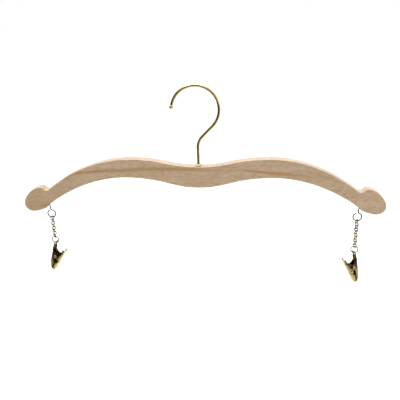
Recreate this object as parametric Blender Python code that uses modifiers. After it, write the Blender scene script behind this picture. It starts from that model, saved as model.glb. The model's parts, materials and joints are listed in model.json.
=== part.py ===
"""A wooden clip hanger: a beech bar that swivels on a wire hook, with a sprung clip
hanging on a short chain from a screw eye under each end.

The origin is where a rail carries the hook: inside the top of its crown, on the axis of
the shank and half way through the bar.  X runs along the bar, Y through it and Z up.
"""
import math

import bmesh
import bpy
from mathutils import Vector

MM = 0.001

# Clearances
SEAT_GAP = 0.3 * MM            # between two pieces that touch on the real hanger
CUT_OVERRUN = 1.5 * MM         # how far a cutter runs past the face it opens
MERGE = 0.01 * MM              # points this close are one
TIP_PLAY = 0.6 * MM            # wood left open past the point of a screw

# Wooden bar, cut from one board
BAR_LENGTH = 445.0 * MM
BAR_RISE = 67.8 * MM           # from the underside of an end to the highest edge
BAR_THICKNESS = 12.0 * MM
BAR_EDGE_ROUND = 0.9 * MM
BAR_OUTLINE_STEPS = 2          # points between two points of the outline
# The right half of the outline, from the middle of the top edge round the end to the
# middle of the underside, as shares of half the length and of the rise
BAR_OUTLINE_SHARES = (
    (0.0, 0.0), (0.072, 0.010), (0.144, 0.044), (0.216, 0.093), (0.288, 0.125),
    (0.364, 0.139), (0.431, 0.132), (0.503, 0.099), (0.575, 0.040), (0.647, -0.047),
    (0.719, -0.159), (0.791, -0.307), (0.827, -0.389),
    # strap notch and the nib outside it
    (0.846, -0.441), (0.855, -0.454), (0.8655, -0.4555), (0.875, -0.445),
    (0.887, -0.411), (0.8965, -0.398),
    # round end
    (0.912, -0.407), (0.926, -0.420), (0.939, -0.441), (0.953, -0.472),
    (0.966, -0.510), (0.9775, -0.5515), (0.9865, -0.593), (0.994, -0.634),
    (0.9987, -0.680), (1.0, -0.730), (0.9975, -0.777), (0.990, -0.817),
    (0.975, -0.855), (0.953, -0.871), (0.928, -0.862), (0.899, -0.836),
    (0.874, -0.799), (0.854, -0.7415),
    # underside of the arm
    (0.827, -0.672), (0.791, -0.594), (0.719, -0.464), (0.647, -0.361),
    (0.575, -0.283), (0.503, -0.231), (0.431, -0.205), (0.3955, -0.202),
    (0.3595, -0.206), (0.288, -0.227), (0.216, -0.268), (0.144, -0.326),
    (0.072, -0.374), (0.0, -0.3875),
)

# Wire hook
HOOK_WIRE = 3.5 * MM
HOOK_REACH = 93.45 * MM        # from the rail's seat down to the wood
CROWN_RADIUS = 27.75 * MM
CROWN_OFFSET = 2.25 * MM       # the crown's middle lies this far left of the shank
LOWER_BEND_SHARE = 0.75       # of the radius that would meet the crown with no straight
LOWER_BEND_HEIGHT = 22.8 * MM  # above the wood
HOOK_END_ANGLE = math.radians(168.5)
HOOK_ARC_STEP = math.radians(8.0)
BALL_DIAMETER = 5.0 * MM
HOOK_WIRE_END = 1.0 * MM       # wire that shows below the nut

# Bush, washer and nut that hold the hook in the bar
BUSH_FLANGE_DIAMETER = 8.0 * MM
BUSH_NECK_DIAMETER = 5.6 * MM
BUSH_HEAD_HEIGHT = 2.5 * MM
BUSH_RIM = 0.7 * MM
BUSH_SLEEVE_DIAMETER = 6.0 * MM
BUSH_SLEEVE_LENGTH = 9.0 * MM
COUNTERBORE_DIAMETER = 9.0 * MM
COUNTERBORE_DEPTH = 6.6 * MM
WASHER_DIAMETER = 8.0 * MM
WASHER_THICKNESS = 0.8 * MM
NUT_ACROSS_FLATS = 7.0 * MM
NUT_HEIGHT = 3.2 * MM
NUT_CHAMFER = 0.3 * MM

# Screw eyes
EYE_PLACE_SHARE = 0.860        # of half the bar's length, to the middle of the ring
EYE_WIRE = 1.3 * MM
EYE_RING_DIAMETER = 11.5 * MM
EYE_NECK_RADIUS = 1.6 * MM
EYE_DROP = 13.0 * MM           # from the wood to the middle of the ring
EYE_THREAD_DEPTH = 12.0 * MM
EYE_POINT_SHARE = 0.3          # of the wire, at the screw's point
EYE_POINT_LENGTH = 2.5 * MM
EYE_LEAN = math.radians(5.0)
EYE_RING_END = math.radians(112.0)
EYE_ARC_STEP = math.radians(15.0)
EYE_NECK_STEPS = 4

# Chains
LINK_WIRE = 1.05 * MM
LINK_LENGTH = 6.0 * MM
LINK_WIDTH = 5.4 * MM
LINK_TURN = math.radians(45.0)  # each link's plane, one way and then the other
LINK_END_STEPS = 6
LEFT_LINKS = 8
RIGHT_LINKS = 10

# Jump rings
RING_WIRE = 1.0 * MM
RING_DIAMETER = 9.6 * MM
RING_SLIT = math.radians(6.0)
RING_SLIT_PLACE = math.radians(150.0)
RING_STEPS = 24

# Clips.  Lengths run from the pin: up to the tab, down to the nose, out to each sheet
CLIP_TAB_REACH = 20.5 * MM
CLIP_NOSE_REACH = 21.0 * MM
CLIP_BACK_SPREAD = 5.5 * MM
CLIP_FRONT_SPREAD = 7.5 * MM
CLIP_HANDLE_REACH = 15.8 * MM
CLIP_WIDTH = 8.0 * MM
CLIP_SHEET = 0.8 * MM
CLIP_EAR_RADIUS = 3.4 * MM
LEFT_CLIP_HANG = math.radians(20.0)    # the lean of each hanging clip
RIGHT_CLIP_HANG = math.radians(13.5)
LEFT_CLIP_TURN = math.radians(20.0)    # each lever points this far forwards of sideways
RIGHT_CLIP_TURN = math.radians(25.0)
CLIP_SHEET_STEPS = 2
TAB_HOLE_DIAMETER = 3.8 * MM
TAB_PLAY = 0.85 * MM           # room above the ring for the tab to lean and turn
TAB_HOLE_EDGE = 2.7 * MM       # from the end of the tab to the middle of the hole
TAB_WIDTH = 6.4 * MM
CLIP_BEND = 0.5 * MM           # from a flange's bend to where it would meet the sheet
LIP_BEND = 0.7 * MM
CLIP_ROW_STEP = 0.35 * MM      # least distance between rows across a jaw
# Middle of the back sheet: shares of the back spread, and of the tab or nose reach
BACK_SHEET_SHARES = (
    (-1.00, 1.0), (-1.02, 0.83), (-1.02, 0.585), (-1.01, 0.293), (-1.0, 0.0),
    (-1.0, -0.286), (-0.96, -0.548), (-0.80, -0.786), (-0.56, -0.93), (-0.45, -1.0),
)
# How far each sheet is narrowed: shares of the reach, and of the whole narrowing
BACK_NARROW_SHARES = (
    (1.0, 3.1), (0.985, 2.2), (0.96, 1.5), (0.92, 1.05), (0.88, 1.0), (0.66, 1.0),
    (0.60, 0.0), (-1.0, 0.0))
FRONT_NARROW_SHARES = (
    (1.0, 0.8), (0.96, 0.55), (0.74, 0.45), (0.62, 1.0), (-0.28, 1.0), (-0.42, 0.0),
    (-1.0, 0.0))
# Middle of the front sheet: shares of the front spread, and of the handle or nose reach
FRONT_SHEET_SHARES = (
    (1.53, 1.0), (1.48, 0.845), (1.39, 0.64), (1.21, 0.34), (1.0, 0.0),
    (0.78, -0.286), (0.56, -0.548), (0.39, -0.786), (0.31, -0.93), (0.30, -1.0),
)
# Inner edges of the side flanges, nose first: shares of the spread and of the reach
BACK_FLANGE_SHARES = (
    (-0.25, -0.955), (-0.42, -0.81), (-0.48, -0.58), (-0.45, -0.38), (-0.28, -0.21))
BACK_EAR_TOP_SHARES = ((-0.40, 0.22), (-0.85, 0.34))
FRONT_FLANGE_SHARES = (
    (0.09, -0.955), (0.02, -0.81), (0.08, -0.58), (0.22, -0.38), (0.16, -0.21))
FRONT_EAR_TOP_SHARES = ((0.62, 0.36), (0.98, 0.58), (1.13, 0.80), (1.20, 0.96))
EAR_ARC_SHARE = 0.42           # of a half turn, round the pin
EAR_ARC_STEPS = 8

# Clip pins, tubular rivets with rolled heads
PIN_DIAMETER = 2.2 * MM
PIN_BORE_DIAMETER = 1.2 * MM
PIN_HEAD_DIAMETER = 3.8 * MM
PIN_HEAD_HEIGHT = 0.7 * MM

# Clip springs
SPRING_WIRE = 0.7 * MM
SPRING_PITCH = 1.2 * MM
SPRING_TURNS = 2
SPRING_CURL_POINTS = 10
SPRING_BACK_LEG = 9.0 * MM
SPRING_FRONT_LEG = 8.2 * MM

ROUND_STEPS = 24
WIRE_SIDES = 2                 # a curve's bevel resolution: eight sides
HOOK_SIDES = 4
SPRING_SIDES = 1

# Finishes: colour, roughness, metallic
BEECH = ((0.52, 0.36, 0.22), 0.45, 0.0)
BRASS_PLATE = ((0.83, 0.66, 0.30), 0.18, 1.0)
SPRING_STEEL = ((0.55, 0.50, 0.38), 0.30, 1.0)


def clear_scene():
    for obj in list(bpy.data.objects):
        bpy.data.objects.remove(obj, do_unlink=True)


def collection(name):
    made = bpy.data.collections.new(name)
    bpy.context.scene.collection.children.link(made)
    return made


clear_scene()
HANGER = collection("clip_hanger")
CUTTERS = collection("cutters")


def finish(obj, look):
    """Give a piece its own material."""
    colour, roughness, metallic = look
    material = bpy.data.materials.new(obj.name)
    material.use_nodes = True
    shader = material.node_tree.nodes["Principled BSDF"]
    shader.inputs["Base Color"].default_value = (*colour, 1.0)
    shader.inputs["Roughness"].default_value = roughness
    shader.inputs["Metallic"].default_value = metallic
    obj.data.materials.clear()
    obj.data.materials.append(material)
    return obj


def link(obj):
    HANGER.objects.link(obj)
    return obj


def baked(obj, name=None):
    """Turn an object, its modifiers and its turn included, into a plain welded mesh."""
    bpy.context.view_layer.update()
    graph = bpy.context.evaluated_depsgraph_get()
    mesh = bpy.data.meshes.new_from_object(obj.evaluated_get(graph))
    shell = bmesh.new()
    shell.from_mesh(mesh)
    bmesh.ops.transform(shell, matrix=obj.matrix_world, verts=shell.verts)
    bmesh.ops.remove_doubles(shell, verts=shell.verts, dist=MERGE)
    bmesh.ops.recalc_face_normals(shell, faces=shell.faces)
    shell.to_mesh(mesh)
    shell.free()
    label = name or obj.name
    bpy.data.objects.remove(obj, do_unlink=True)
    return link(bpy.data.objects.new(label, mesh))


def boolean(obj, other, operation):
    step = obj.modifiers.new(f"{operation.lower()} {other.name}", "BOOLEAN")
    step.operation = operation
    step.solver = "EXACT"
    step.object = other


def cut(obj, cutter):
    """Take a cutter's shape out of a piece.  The cutter stays, hidden, as a guide."""
    for group in list(cutter.users_collection):
        group.objects.unlink(cutter)
    CUTTERS.objects.link(cutter)
    cutter.hide_render = True
    cutter.display_type = "WIRE"
    boolean(obj, cutter, "DIFFERENCE")


def wire(name, points, radius, sides, cyclic=False, end_shares=None):
    """A round wire along a row of points, with closed ends."""
    curve = bpy.data.curves.new(name, "CURVE")
    curve.dimensions = "3D"
    curve.bevel_depth = radius
    curve.bevel_resolution = sides
    curve.use_fill_caps = True
    spline = curve.splines.new("POLY")
    spline.points.add(len(points) - 1)
    spline.use_cyclic_u = cyclic
    for index, (knot, point) in enumerate(zip(spline.points, points)):
        knot.co = (*point, 1.0)
        if end_shares and index in end_shares:
            knot.radius = end_shares[index]
    return baked(link(bpy.data.objects.new(name, curve)))


def plate(name, outline, thickness, offset=0.0):
    """A flat piece in the XZ plane, from its outline, centred at Y = offset."""
    curve = bpy.data.curves.new(name, "CURVE")
    curve.dimensions = "2D"
    curve.fill_mode = "BOTH"
    curve.extrude = thickness / 2
    spline = curve.splines.new("POLY")
    spline.points.add(len(outline) - 1)
    spline.use_cyclic_u = True
    for knot, (x, z) in zip(spline.points, outline):
        knot.co = (x, z, 0.0, 1.0)
    obj = link(bpy.data.objects.new(name, curve))
    obj.rotation_euler = (math.radians(90), 0.0, 0.0)
    obj.location = (0.0, offset, 0.0)
    return baked(obj)


def turned(name, profile, closed=True, steps=ROUND_STEPS):
    """A shape turned round Z from a profile of (radius, height), outer side downwards."""
    mesh = bpy.data.meshes.new(name)
    count = len(profile)
    edges = [(i, i + 1) for i in range(count - 1)]
    if closed:
        edges.append((count - 1, 0))
    mesh.from_pydata([(radius, 0.0, height) for radius, height in profile], edges, [])
    obj = link(bpy.data.objects.new(name, mesh))
    screw = obj.modifiers.new("turn", "SCREW")
    screw.angle = math.tau
    screw.steps = steps
    screw.render_steps = steps
    screw.use_merge_vertices = True
    screw.merge_threshold = MERGE
    return baked(obj)


def empty(name, location, turn=(0.0, 0.0, 0.0), parent=None):
    obj = link(bpy.data.objects.new(name, None))
    obj.location = location
    obj.rotation_euler = turn
    obj.parent = parent
    return obj


def place(obj, location, turn=(0.0, 0.0, 0.0), parent=None):
    obj.parent = parent
    obj.matrix_parent_inverse.identity()
    obj.location = location
    obj.rotation_euler = turn
    return obj


def arc(centre, radius, start, end, step):
    """Points on a circle in the XZ plane, both ends included."""
    count = max(1, math.ceil(abs(end - start) / step))
    angles = [start + (end - start) * i / count for i in range(count + 1)]
    return [(centre[0] + radius * math.cos(a), centre[1] + radius * math.sin(a))
            for a in angles]


def smooth_through(knots, steps, closed=False):
    """Points on a Catmull-Rom curve through the knots."""
    count = len(knots)
    line = []
    for i in range(count if closed else count - 1):
        if closed:
            around = [knots[(i + k) % count] for k in (-1, 0, 1, 2)]
        else:
            around = [knots[min(max(i + k, 0), count - 1)] for k in (-1, 0, 1, 2)]
        before, here, there, after = (Vector(knot) for knot in around)
        for step in range(steps):
            t = step / steps
            line.append(0.5 * (2 * here + (there - before) * t
                               + (2 * before - 5 * here + 4 * there - after) * t * t
                               + (3 * here - before - 3 * there + after) * t ** 3))
    if not closed:
        line.append(Vector(knots[-1]))
    return [tuple(point) for point in line]


def offset_line(line, distance):
    """The line moved sideways by a distance, to the left of its direction."""
    moved = []
    for i, point in enumerate(line):
        ahead = Vector(line[min(i + 1, len(line) - 1)])
        behind = Vector(line[max(i - 1, 0)])
        along = (ahead - behind).normalized()
        moved.append((point[0] - along.y * distance, point[1] + along.x * distance))
    return moved


def height_on(line, x):
    """The height of a line, which runs along X, at one place."""
    for (x0, z0), (x1, z1) in zip(line, line[1:]):
        if min(x0, x1) <= x <= max(x0, x1) and x0 != x1:
            return z0 + (z1 - z0) * (x - x0) / (x1 - x0)
    return line[-1][1]


def place_on(line, z):
    """The X of a line, which runs up or down, at one height."""
    return height_on([(height, x) for x, height in line], z)


# Heights that several pieces share
wood_top = -HOOK_REACH
half_length = BAR_LENGTH / 2
bar_side = [(x * half_length, wood_top + z * BAR_RISE) for x, z in BAR_OUTLINE_SHARES]
wood_bottom = bar_side[-1][1]
underside = bar_side[len(bar_side) // 2:]
bore_radius = HOOK_WIRE / 2 + SEAT_GAP
eye_x = EYE_PLACE_SHARE * half_length
eye_z = height_on(underside, eye_x) - EYE_DROP


def make_bar():
    mirrored = [(-x, z) for x, z in bar_side[-2:0:-1]]
    outline = smooth_through(bar_side + mirrored, BAR_OUTLINE_STEPS, closed=True)
    bar = plate("bar", outline, BAR_THICKNESS)
    rounding = bar.modifiers.new("rounded edges", "BEVEL")
    rounding.width = BAR_EDGE_ROUND
    rounding.segments = 2
    rounding.limit_method = "ANGLE"
    rounding.angle_limit = math.radians(60)
    rounding.use_clamp_overlap = False

    sleeve = BUSH_SLEEVE_DIAMETER / 2 + SEAT_GAP
    sleeve_floor = wood_top - BUSH_SLEEVE_LENGTH - SEAT_GAP
    counterbore_top = wood_bottom + COUNTERBORE_DEPTH
    bore = turned("hook_bore", [
        (0.0, wood_top + CUT_OVERRUN), (sleeve, wood_top + CUT_OVERRUN),
        (sleeve, sleeve_floor), (bore_radius, sleeve_floor),
        (bore_radius, counterbore_top), (COUNTERBORE_DIAMETER / 2, counterbore_top),
        (COUNTERBORE_DIAMETER / 2, wood_bottom - CUT_OVERRUN),
        (0.0, wood_bottom - CUT_OVERRUN)], closed=False)
    cut(bar, bore)

    hole = EYE_WIRE / 2 + SEAT_GAP
    hole_top = EYE_DROP + EYE_THREAD_DEPTH + TIP_PLAY
    hole_bottom = EYE_DROP - EYE_WIRE - CUT_OVERRUN
    for side, x in (("left", -eye_x), ("right", eye_x)):
        pilot = turned(f"eye_hole_{side}", [
            (0.0, hole_top), (hole, hole_top), (hole, hole_bottom), (0.0, hole_bottom)],
            closed=False, steps=ROUND_STEPS // 2)
        place(pilot, (x, 0.0, eye_z), (0.0, math.copysign(EYE_LEAN, x), 0.0))
        cut(bar, pilot)
    return finish(bar, BEECH)


def hook_line():
    """The hook's middle line, from its lower end up to its tip."""
    crown = Vector((-CROWN_OFFSET, HOOK_WIRE / 2 - CROWN_RADIUS))
    rise = crown.y - wood_top - LOWER_BEND_HEIGHT
    meeting = ((rise ** 2 + CROWN_OFFSET ** 2 - CROWN_RADIUS ** 2)
               / (2 * (CROWN_RADIUS - CROWN_OFFSET)))
    radius = LOWER_BEND_SHARE * meeting
    bend = Vector((radius, wood_top + LOWER_BEND_HEIGHT))
    between = crown - bend
    straight = (math.atan2(between.y, between.x) - math.pi / 2
                + math.acos((CROWN_RADIUS + radius) / between.length))
    bend_end = straight + math.pi / 2
    lower = arc(bend, radius, math.pi, bend_end, HOOK_ARC_STEP)
    upper = arc(crown, CROWN_RADIUS, straight - math.pi / 2, HOOK_END_ANGLE,
                HOOK_ARC_STEP)
    return [(0.0, nut_bottom - HOOK_WIRE_END)] + lower + upper


washer_top = wood_bottom + COUNTERBORE_DEPTH - SEAT_GAP
nut_top = washer_top - WASHER_THICKNESS - SEAT_GAP
nut_bottom = nut_top - NUT_HEIGHT


def make_hook():
    line = hook_line()
    hook = wire("hook_wire", [(x, 0.0, z) for x, z in line], HOOK_WIRE / 2, HOOK_SIDES)
    finish(hook, BRASS_PLATE)

    radius = BALL_DIAMETER / 2
    flat = math.sqrt(radius ** 2 - (HOOK_WIRE / 2) ** 2)
    open_angle = math.acos(flat / radius)
    outline = arc((0.0, 0.0), radius, math.pi / 2 - open_angle, -math.pi / 2,
                  math.radians(15))
    ball = turned("hook_ball_tip", [(0.0, flat)] + outline[:-1] + [(0.0, -radius)],
                  closed=False)
    tip = Vector(line[-1])
    along = (tip - Vector(line[-2])).normalized()
    middle = tip + along * (flat + SEAT_GAP)
    # the flat faces back along the wire
    place(ball, (middle.x, 0.0, middle.y), (0.0, math.atan2(-along.x, -along.y), 0.0))
    finish(ball, BRASS_PLATE)


def make_bush():
    flange = wood_top + SEAT_GAP
    head = flange + BUSH_HEAD_HEIGHT
    end = wood_top - BUSH_SLEEVE_LENGTH
    bush = turned("hook_bush", [
        (bore_radius, head), (BUSH_NECK_DIAMETER / 2, head),
        (BUSH_NECK_DIAMETER / 2, head - BUSH_RIM),
        (BUSH_FLANGE_DIAMETER / 2, flange + BUSH_RIM), (BUSH_FLANGE_DIAMETER / 2, flange),
        (BUSH_SLEEVE_DIAMETER / 2, flange), (BUSH_SLEEVE_DIAMETER / 2, end),
        (bore_radius, end)])
    finish(bush, BRASS_PLATE)


def make_washer_and_nut():
    washer = turned("hook_washer", [
        (bore_radius, washer_top), (WASHER_DIAMETER / 2, washer_top),
        (WASHER_DIAMETER / 2, washer_top - WASHER_THICKNESS),
        (bore_radius, washer_top - WASHER_THICKNESS)])
    finish(washer, BRASS_PLATE)

    corner = NUT_ACROSS_FLATS / math.sqrt(3)
    body = bmesh.new()
    bmesh.ops.create_cone(body, cap_ends=True, segments=6, radius1=corner,
                          radius2=corner, depth=NUT_HEIGHT)
    mesh = bpy.data.meshes.new("hook_nut")
    body.to_mesh(mesh)
    body.free()
    nut = link(bpy.data.objects.new("hook_nut", mesh))
    nut.location = (0.0, 0.0, (nut_top + nut_bottom) / 2)
    chamfer = nut.modifiers.new("chamfer", "BEVEL")
    chamfer.width = NUT_CHAMFER
    chamfer.segments = 1
    chamfer.limit_method = "ANGLE"
    chamfer.angle_limit = math.radians(75)
    bore = turned("nut_bore", [
        (0.0, nut_top + CUT_OVERRUN), (bore_radius, nut_top + CUT_OVERRUN),
        (bore_radius, nut_bottom - CUT_OVERRUN), (0.0, nut_bottom - CUT_OVERRUN)],
        closed=False)
    cut(nut, bore)
    finish(nut, BRASS_PLATE)


eye_ring_radius = (EYE_RING_DIAMETER - EYE_WIRE) / 2


def make_eye(side, x):
    """One wire: a pointed shank, a small neck bend and the ring, round its middle."""
    neck_height = math.sqrt(eye_ring_radius ** 2 + 2 * eye_ring_radius * EYE_NECK_RADIUS)
    meet = math.atan2(neck_height, EYE_NECK_RADIUS)
    top = EYE_DROP + EYE_THREAD_DEPTH
    shank = [(0.0, top), (0.0, top - EYE_POINT_LENGTH)]
    neck = arc((EYE_NECK_RADIUS, neck_height), EYE_NECK_RADIUS, math.pi, math.pi + meet,
               meet / EYE_NECK_STEPS)
    ring = arc((0.0, 0.0), eye_ring_radius, meet, EYE_RING_END - math.tau, EYE_ARC_STEP)
    points = [(px, 0.0, pz) for px, pz in shank + neck[:-1] + ring]
    eye = wire(f"screw_eye_{side}", points, EYE_WIRE / 2, WIRE_SIDES,
               end_shares={0: EYE_POINT_SHARE})
    place(eye, (x, 0.0, eye_z), (0.0, math.copysign(EYE_LEAN, x), 0.0))
    finish(eye, BRASS_PLATE)


def link_mesh():
    """One link, upright in the XZ plane, round the place where it hangs."""
    radius = (LINK_WIDTH - LINK_WIRE) / 2
    half_straight = (LINK_LENGTH - LINK_WIDTH) / 2
    step = math.pi / LINK_END_STEPS
    oval = (arc((0.0, half_straight), radius, 0.0, math.pi, step)
            + arc((0.0, -half_straight), radius, math.pi, math.tau, step))
    shape = wire("link", [(x, 0.0, z) for x, z in oval], LINK_WIRE / 2, WIRE_SIDES,
                 cyclic=True)
    mesh = shape.data
    bpy.data.objects.remove(shape, do_unlink=True)
    return mesh


link_rise = LINK_LENGTH / 2 - LINK_WIRE / 2
pitch = LINK_LENGTH - 2 * LINK_WIRE - SEAT_GAP
first_hang = eye_z - eye_ring_radius
first_seat = (EYE_WIRE + LINK_WIRE) / 2 + SEAT_GAP


def link_bottom(number):
    """The height of the lowest middle line of a link, counted from 1."""
    return first_hang + first_seat - 2 * link_rise - pitch * (number - 1)


def make_chain(side, x, count, shape):
    """Links whose planes turn one way and then the other, each hung on the last."""
    for number in range(1, count + 1):
        hang = first_hang if number == 1 else link_bottom(number - 1)
        turn = LINK_TURN if number % 2 else -LINK_TURN
        joint = empty(f"{side}_link_{number}_joint", (x, 0.0, hang), (0.0, 0.0, turn))
        mesh = shape.copy()
        piece = link(bpy.data.objects.new(f"chain_{side}_link_{number:02d}", mesh))
        place(piece, (0.0, 0.0, link_bottom(number) + link_rise - hang), parent=joint)
        finish(piece, BRASS_PLATE)
    return link_bottom(count)


ring_radius = (RING_DIAMETER - RING_WIRE) / 2


def make_jump_ring(side, x, hang):
    joint = empty(f"{side}_ring_joint", (x, 0.0, hang))
    rise = (LINK_WIRE + RING_WIRE) / 2 + SEAT_GAP
    ends = (RING_SLIT_PLACE + RING_SLIT / 2, RING_SLIT_PLACE + math.tau - RING_SLIT / 2)
    circle = arc((0.0, 0.0), ring_radius, *ends, math.tau / RING_STEPS)
    ring = wire(f"jump_ring_{side}", [(px, 0.0, pz) for px, pz in circle],
                RING_WIRE / 2, WIRE_SIDES)
    place(ring, (0.0, 0.0, rise - ring_radius), parent=joint)
    finish(ring, BRASS_PLATE)
    return hang + rise - 2 * ring_radius


def scaled(shares, spread, up_reach):
    """Turn shares into a line: heights above the pin follow one reach, below another."""
    return [(x * spread, z * (up_reach if z > 0 else CLIP_NOSE_REACH))
            for x, z in shares]


back_sheet = smooth_through(
    scaled(BACK_SHEET_SHARES, CLIP_BACK_SPREAD, CLIP_TAB_REACH), CLIP_SHEET_STEPS)
front_sheet = smooth_through(
    scaled(FRONT_SHEET_SHARES, CLIP_FRONT_SPREAD, CLIP_HANDLE_REACH), CLIP_SHEET_STEPS)
tab_hole_z = CLIP_TAB_REACH - TAB_HOLE_EDGE
tab_hole_x = place_on(back_sheet, tab_hole_z)


def flange_edge(sign, inner, ear_top, spread, reach):
    """The inner edge of a side flange and of its ear round the pin, nose first."""
    half = EAR_ARC_SHARE * math.pi
    middle = 0.0 if sign < 0 else math.pi
    ear = arc((0.0, 0.0), CLIP_EAR_RADIUS, middle + sign * half, middle - sign * half,
              2 * half / EAR_ARC_STEPS)
    return scaled(inner, spread, reach) + ear + scaled(ear_top, spread, reach)


def jaw_rows(sheet, sign, edge, narrow_shares, narrowing, reach):
    """Rows across a jaw from its upper end to its lip: middle, half width, flange edge."""
    narrow = scaled([(part, z) for z, part in narrow_shares], narrowing, reach)
    end_x, end_z = sheet[-1]
    levels = [sheet[0][1]]
    for z in sorted((point[1] for point in sheet + edge), reverse=True):
        if levels[-1] - z > CLIP_ROW_STEP and z >= edge[0][1]:
            levels.append(z)
    rows = []
    for z in levels:
        width = CLIP_WIDTH - place_on(narrow, z)
        if z <= edge[-1][1]:
            rows.append(((place_on(sheet, z), z), (width - CLIP_SHEET) / 2,
                         place_on(edge, z)))
        else:
            rows.append(((place_on(sheet, z), z), width / 2, None))
    # the arc turns from straight down to straight inwards
    lip = arc((end_x - sign * LIP_BEND, end_z + LIP_BEND), LIP_BEND,
              -math.pi / 2 + sign * math.pi / 2, -math.pi / 2, math.pi / 4)
    lip.append((sign * SEAT_GAP / 2, end_z))
    return rows + [(point, CLIP_WIDTH / 2, None) for point in lip[1:]]


def bent_sheet(name, rows):
    """A sheet bent along its length, with flanges turned in where a row has an edge."""
    across = 6
    shape = bmesh.new()
    bmesh.ops.create_grid(shape, x_segments=across - 1, y_segments=len(rows) - 1)
    shape.verts.ensure_lookup_table()
    spare = []
    for number, ((x, z), half, edge) in enumerate(rows):
        if edge is None:
            cross = [None, None, (x, half)]
        else:
            bend = math.copysign(CLIP_BEND, edge - x)
            cross = [(edge, half), (x + bend, half), (x, half - CLIP_BEND)]
        for column, point in enumerate(cross):
            near = shape.verts[number * across + column]
            far = shape.verts[number * across + across - 1 - column]
            if point is None:
                spare += [near, far]
            else:
                near.co = (point[0], -point[1], z)
                far.co = (point[0], point[1], z)
    bmesh.ops.delete(shape, geom=spare, context="VERTS")
    mesh = bpy.data.meshes.new(name)
    shape.to_mesh(mesh)
    shape.free()
    sheet = link(bpy.data.objects.new(name, mesh))
    solid = sheet.modifiers.new("sheet thickness", "SOLIDIFY")
    solid.thickness = CLIP_SHEET
    solid.offset = 0.0
    solid.use_even_offset = True
    return baked(sheet)


def pin_hole(name):
    reach = CLIP_WIDTH / 2 + CUT_OVERRUN
    radius = PIN_DIAMETER / 2 + SEAT_GAP
    hole = turned(name, [(0.0, reach), (radius, reach), (radius, -reach), (0.0, -reach)],
                  closed=False)
    return place(hole, (0.0, 0.0, 0.0), (math.radians(90), 0.0, 0.0))


def make_back_jaw(side, hinge, pivot):
    name = f"clip_{side}_back_jaw"
    edge = flange_edge(-1, BACK_FLANGE_SHARES, BACK_EAR_TOP_SHARES, CLIP_BACK_SPREAD,
                       CLIP_TAB_REACH)
    jaw = bent_sheet(name, jaw_rows(back_sheet, -1, edge, BACK_NARROW_SHARES,
                                    CLIP_WIDTH - TAB_WIDTH, CLIP_TAB_REACH))
    hole = pin_hole(f"{name}_pin_hole")
    eye = turned(f"{name}_tab_hole", [
        (0.0, CUT_OVERRUN), (TAB_HOLE_DIAMETER / 2, CUT_OVERRUN),
        (TAB_HOLE_DIAMETER / 2, -CUT_OVERRUN), (0.0, -CUT_OVERRUN)], closed=False)
    cut(jaw, hole)
    cut(jaw, eye)
    place(hole, (0.0, 0.0, 0.0), (math.radians(90), 0.0, 0.0), parent=jaw)
    place(eye, (tab_hole_x, 0.0, tab_hole_z), (0.0, math.radians(90), 0.0), parent=jaw)
    place(jaw, pivot, parent=hinge)
    finish(jaw, BRASS_PLATE)


def make_lever(side, hinge, pivot):
    name = f"clip_{side}_lever"
    edge = flange_edge(1, FRONT_FLANGE_SHARES, FRONT_EAR_TOP_SHARES, CLIP_FRONT_SPREAD,
                       CLIP_HANDLE_REACH)
    lever = bent_sheet(name, jaw_rows(front_sheet, 1, edge, FRONT_NARROW_SHARES,
                                      2 * (CLIP_SHEET + SEAT_GAP), CLIP_HANDLE_REACH))
    hole = pin_hole(f"{name}_pin_hole")
    cut(lever, hole)
    place(hole, (0.0, 0.0, 0.0), (math.radians(90), 0.0, 0.0), parent=lever)
    place(lever, pivot, parent=hinge)
    finish(lever, BRASS_PLATE)


def make_pin(side, hinge, pivot):
    seat = CLIP_WIDTH / 2 + SEAT_GAP
    end = seat + PIN_HEAD_HEIGHT
    edge = PIN_HEAD_HEIGHT / 2
    pin = turned(f"clip_{side}_pin", [
        (PIN_BORE_DIAMETER / 2, end), (PIN_DIAMETER / 2, end),
        (PIN_HEAD_DIAMETER / 2, seat + edge), (PIN_HEAD_DIAMETER / 2, seat),
        (PIN_DIAMETER / 2, seat), (PIN_DIAMETER / 2, -seat),
        (PIN_HEAD_DIAMETER / 2, -seat), (PIN_HEAD_DIAMETER / 2, -seat - edge),
        (PIN_DIAMETER / 2, -end), (PIN_BORE_DIAMETER / 2, -end)])
    place(pin, pivot, (math.radians(90), 0.0, 0.0), parent=hinge)
    finish(pin, BRASS_PLATE)


def spring_points():
    """A leg on the lever, the curls round the pin, then a leg on the back jaw."""
    radius = PIN_DIAMETER / 2 + SEAT_GAP + SPRING_WIRE / 2
    clear = CLIP_SHEET / 2 + SEAT_GAP + SPRING_WIRE / 2

    def leg_end(sheet, length):
        inner = [Vector(p) for p in sheet if p[1] > 0]
        return min(inner, key=lambda p: abs(p.length - length))

    back = leg_end(offset_line(back_sheet, clear), SPRING_BACK_LEG)
    front = leg_end(offset_line(front_sheet, -clear), SPRING_FRONT_LEG)
    start = math.atan2(front.y, front.x) - math.acos(radius / front.length)
    end = math.atan2(back.y, back.x) + math.acos(radius / back.length)
    travel = (start - end) % math.tau + math.tau * SPRING_TURNS
    count = math.ceil(travel / (math.tau / SPRING_CURL_POINTS))
    length = SPRING_PITCH * travel / math.tau
    curls = []
    for i in range(count + 1):
        angle = start - travel * i / count
        curls.append((radius * math.cos(angle), length * (i / count - 0.5),
                      radius * math.sin(angle)))
    points = [(front.x, -length / 2, front.y)] + curls + [(back.x, length / 2, back.y)]
    return points


def least_gap(points, diameter):
    """The least clear distance from the wire to itself, away from its own next turn."""
    least = math.inf
    walk = [0.0]
    for a, b in zip(points, points[1:]):
        walk.append(walk[-1] + (Vector(b) - Vector(a)).length)
    apart = math.pi * diameter
    for i, a in enumerate(points):
        for j in range(i + 1, len(points)):
            if walk[j] - walk[i] > apart:
                least = min(least, (Vector(points[j]) - Vector(a)).length - diameter)
    return least


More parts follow.
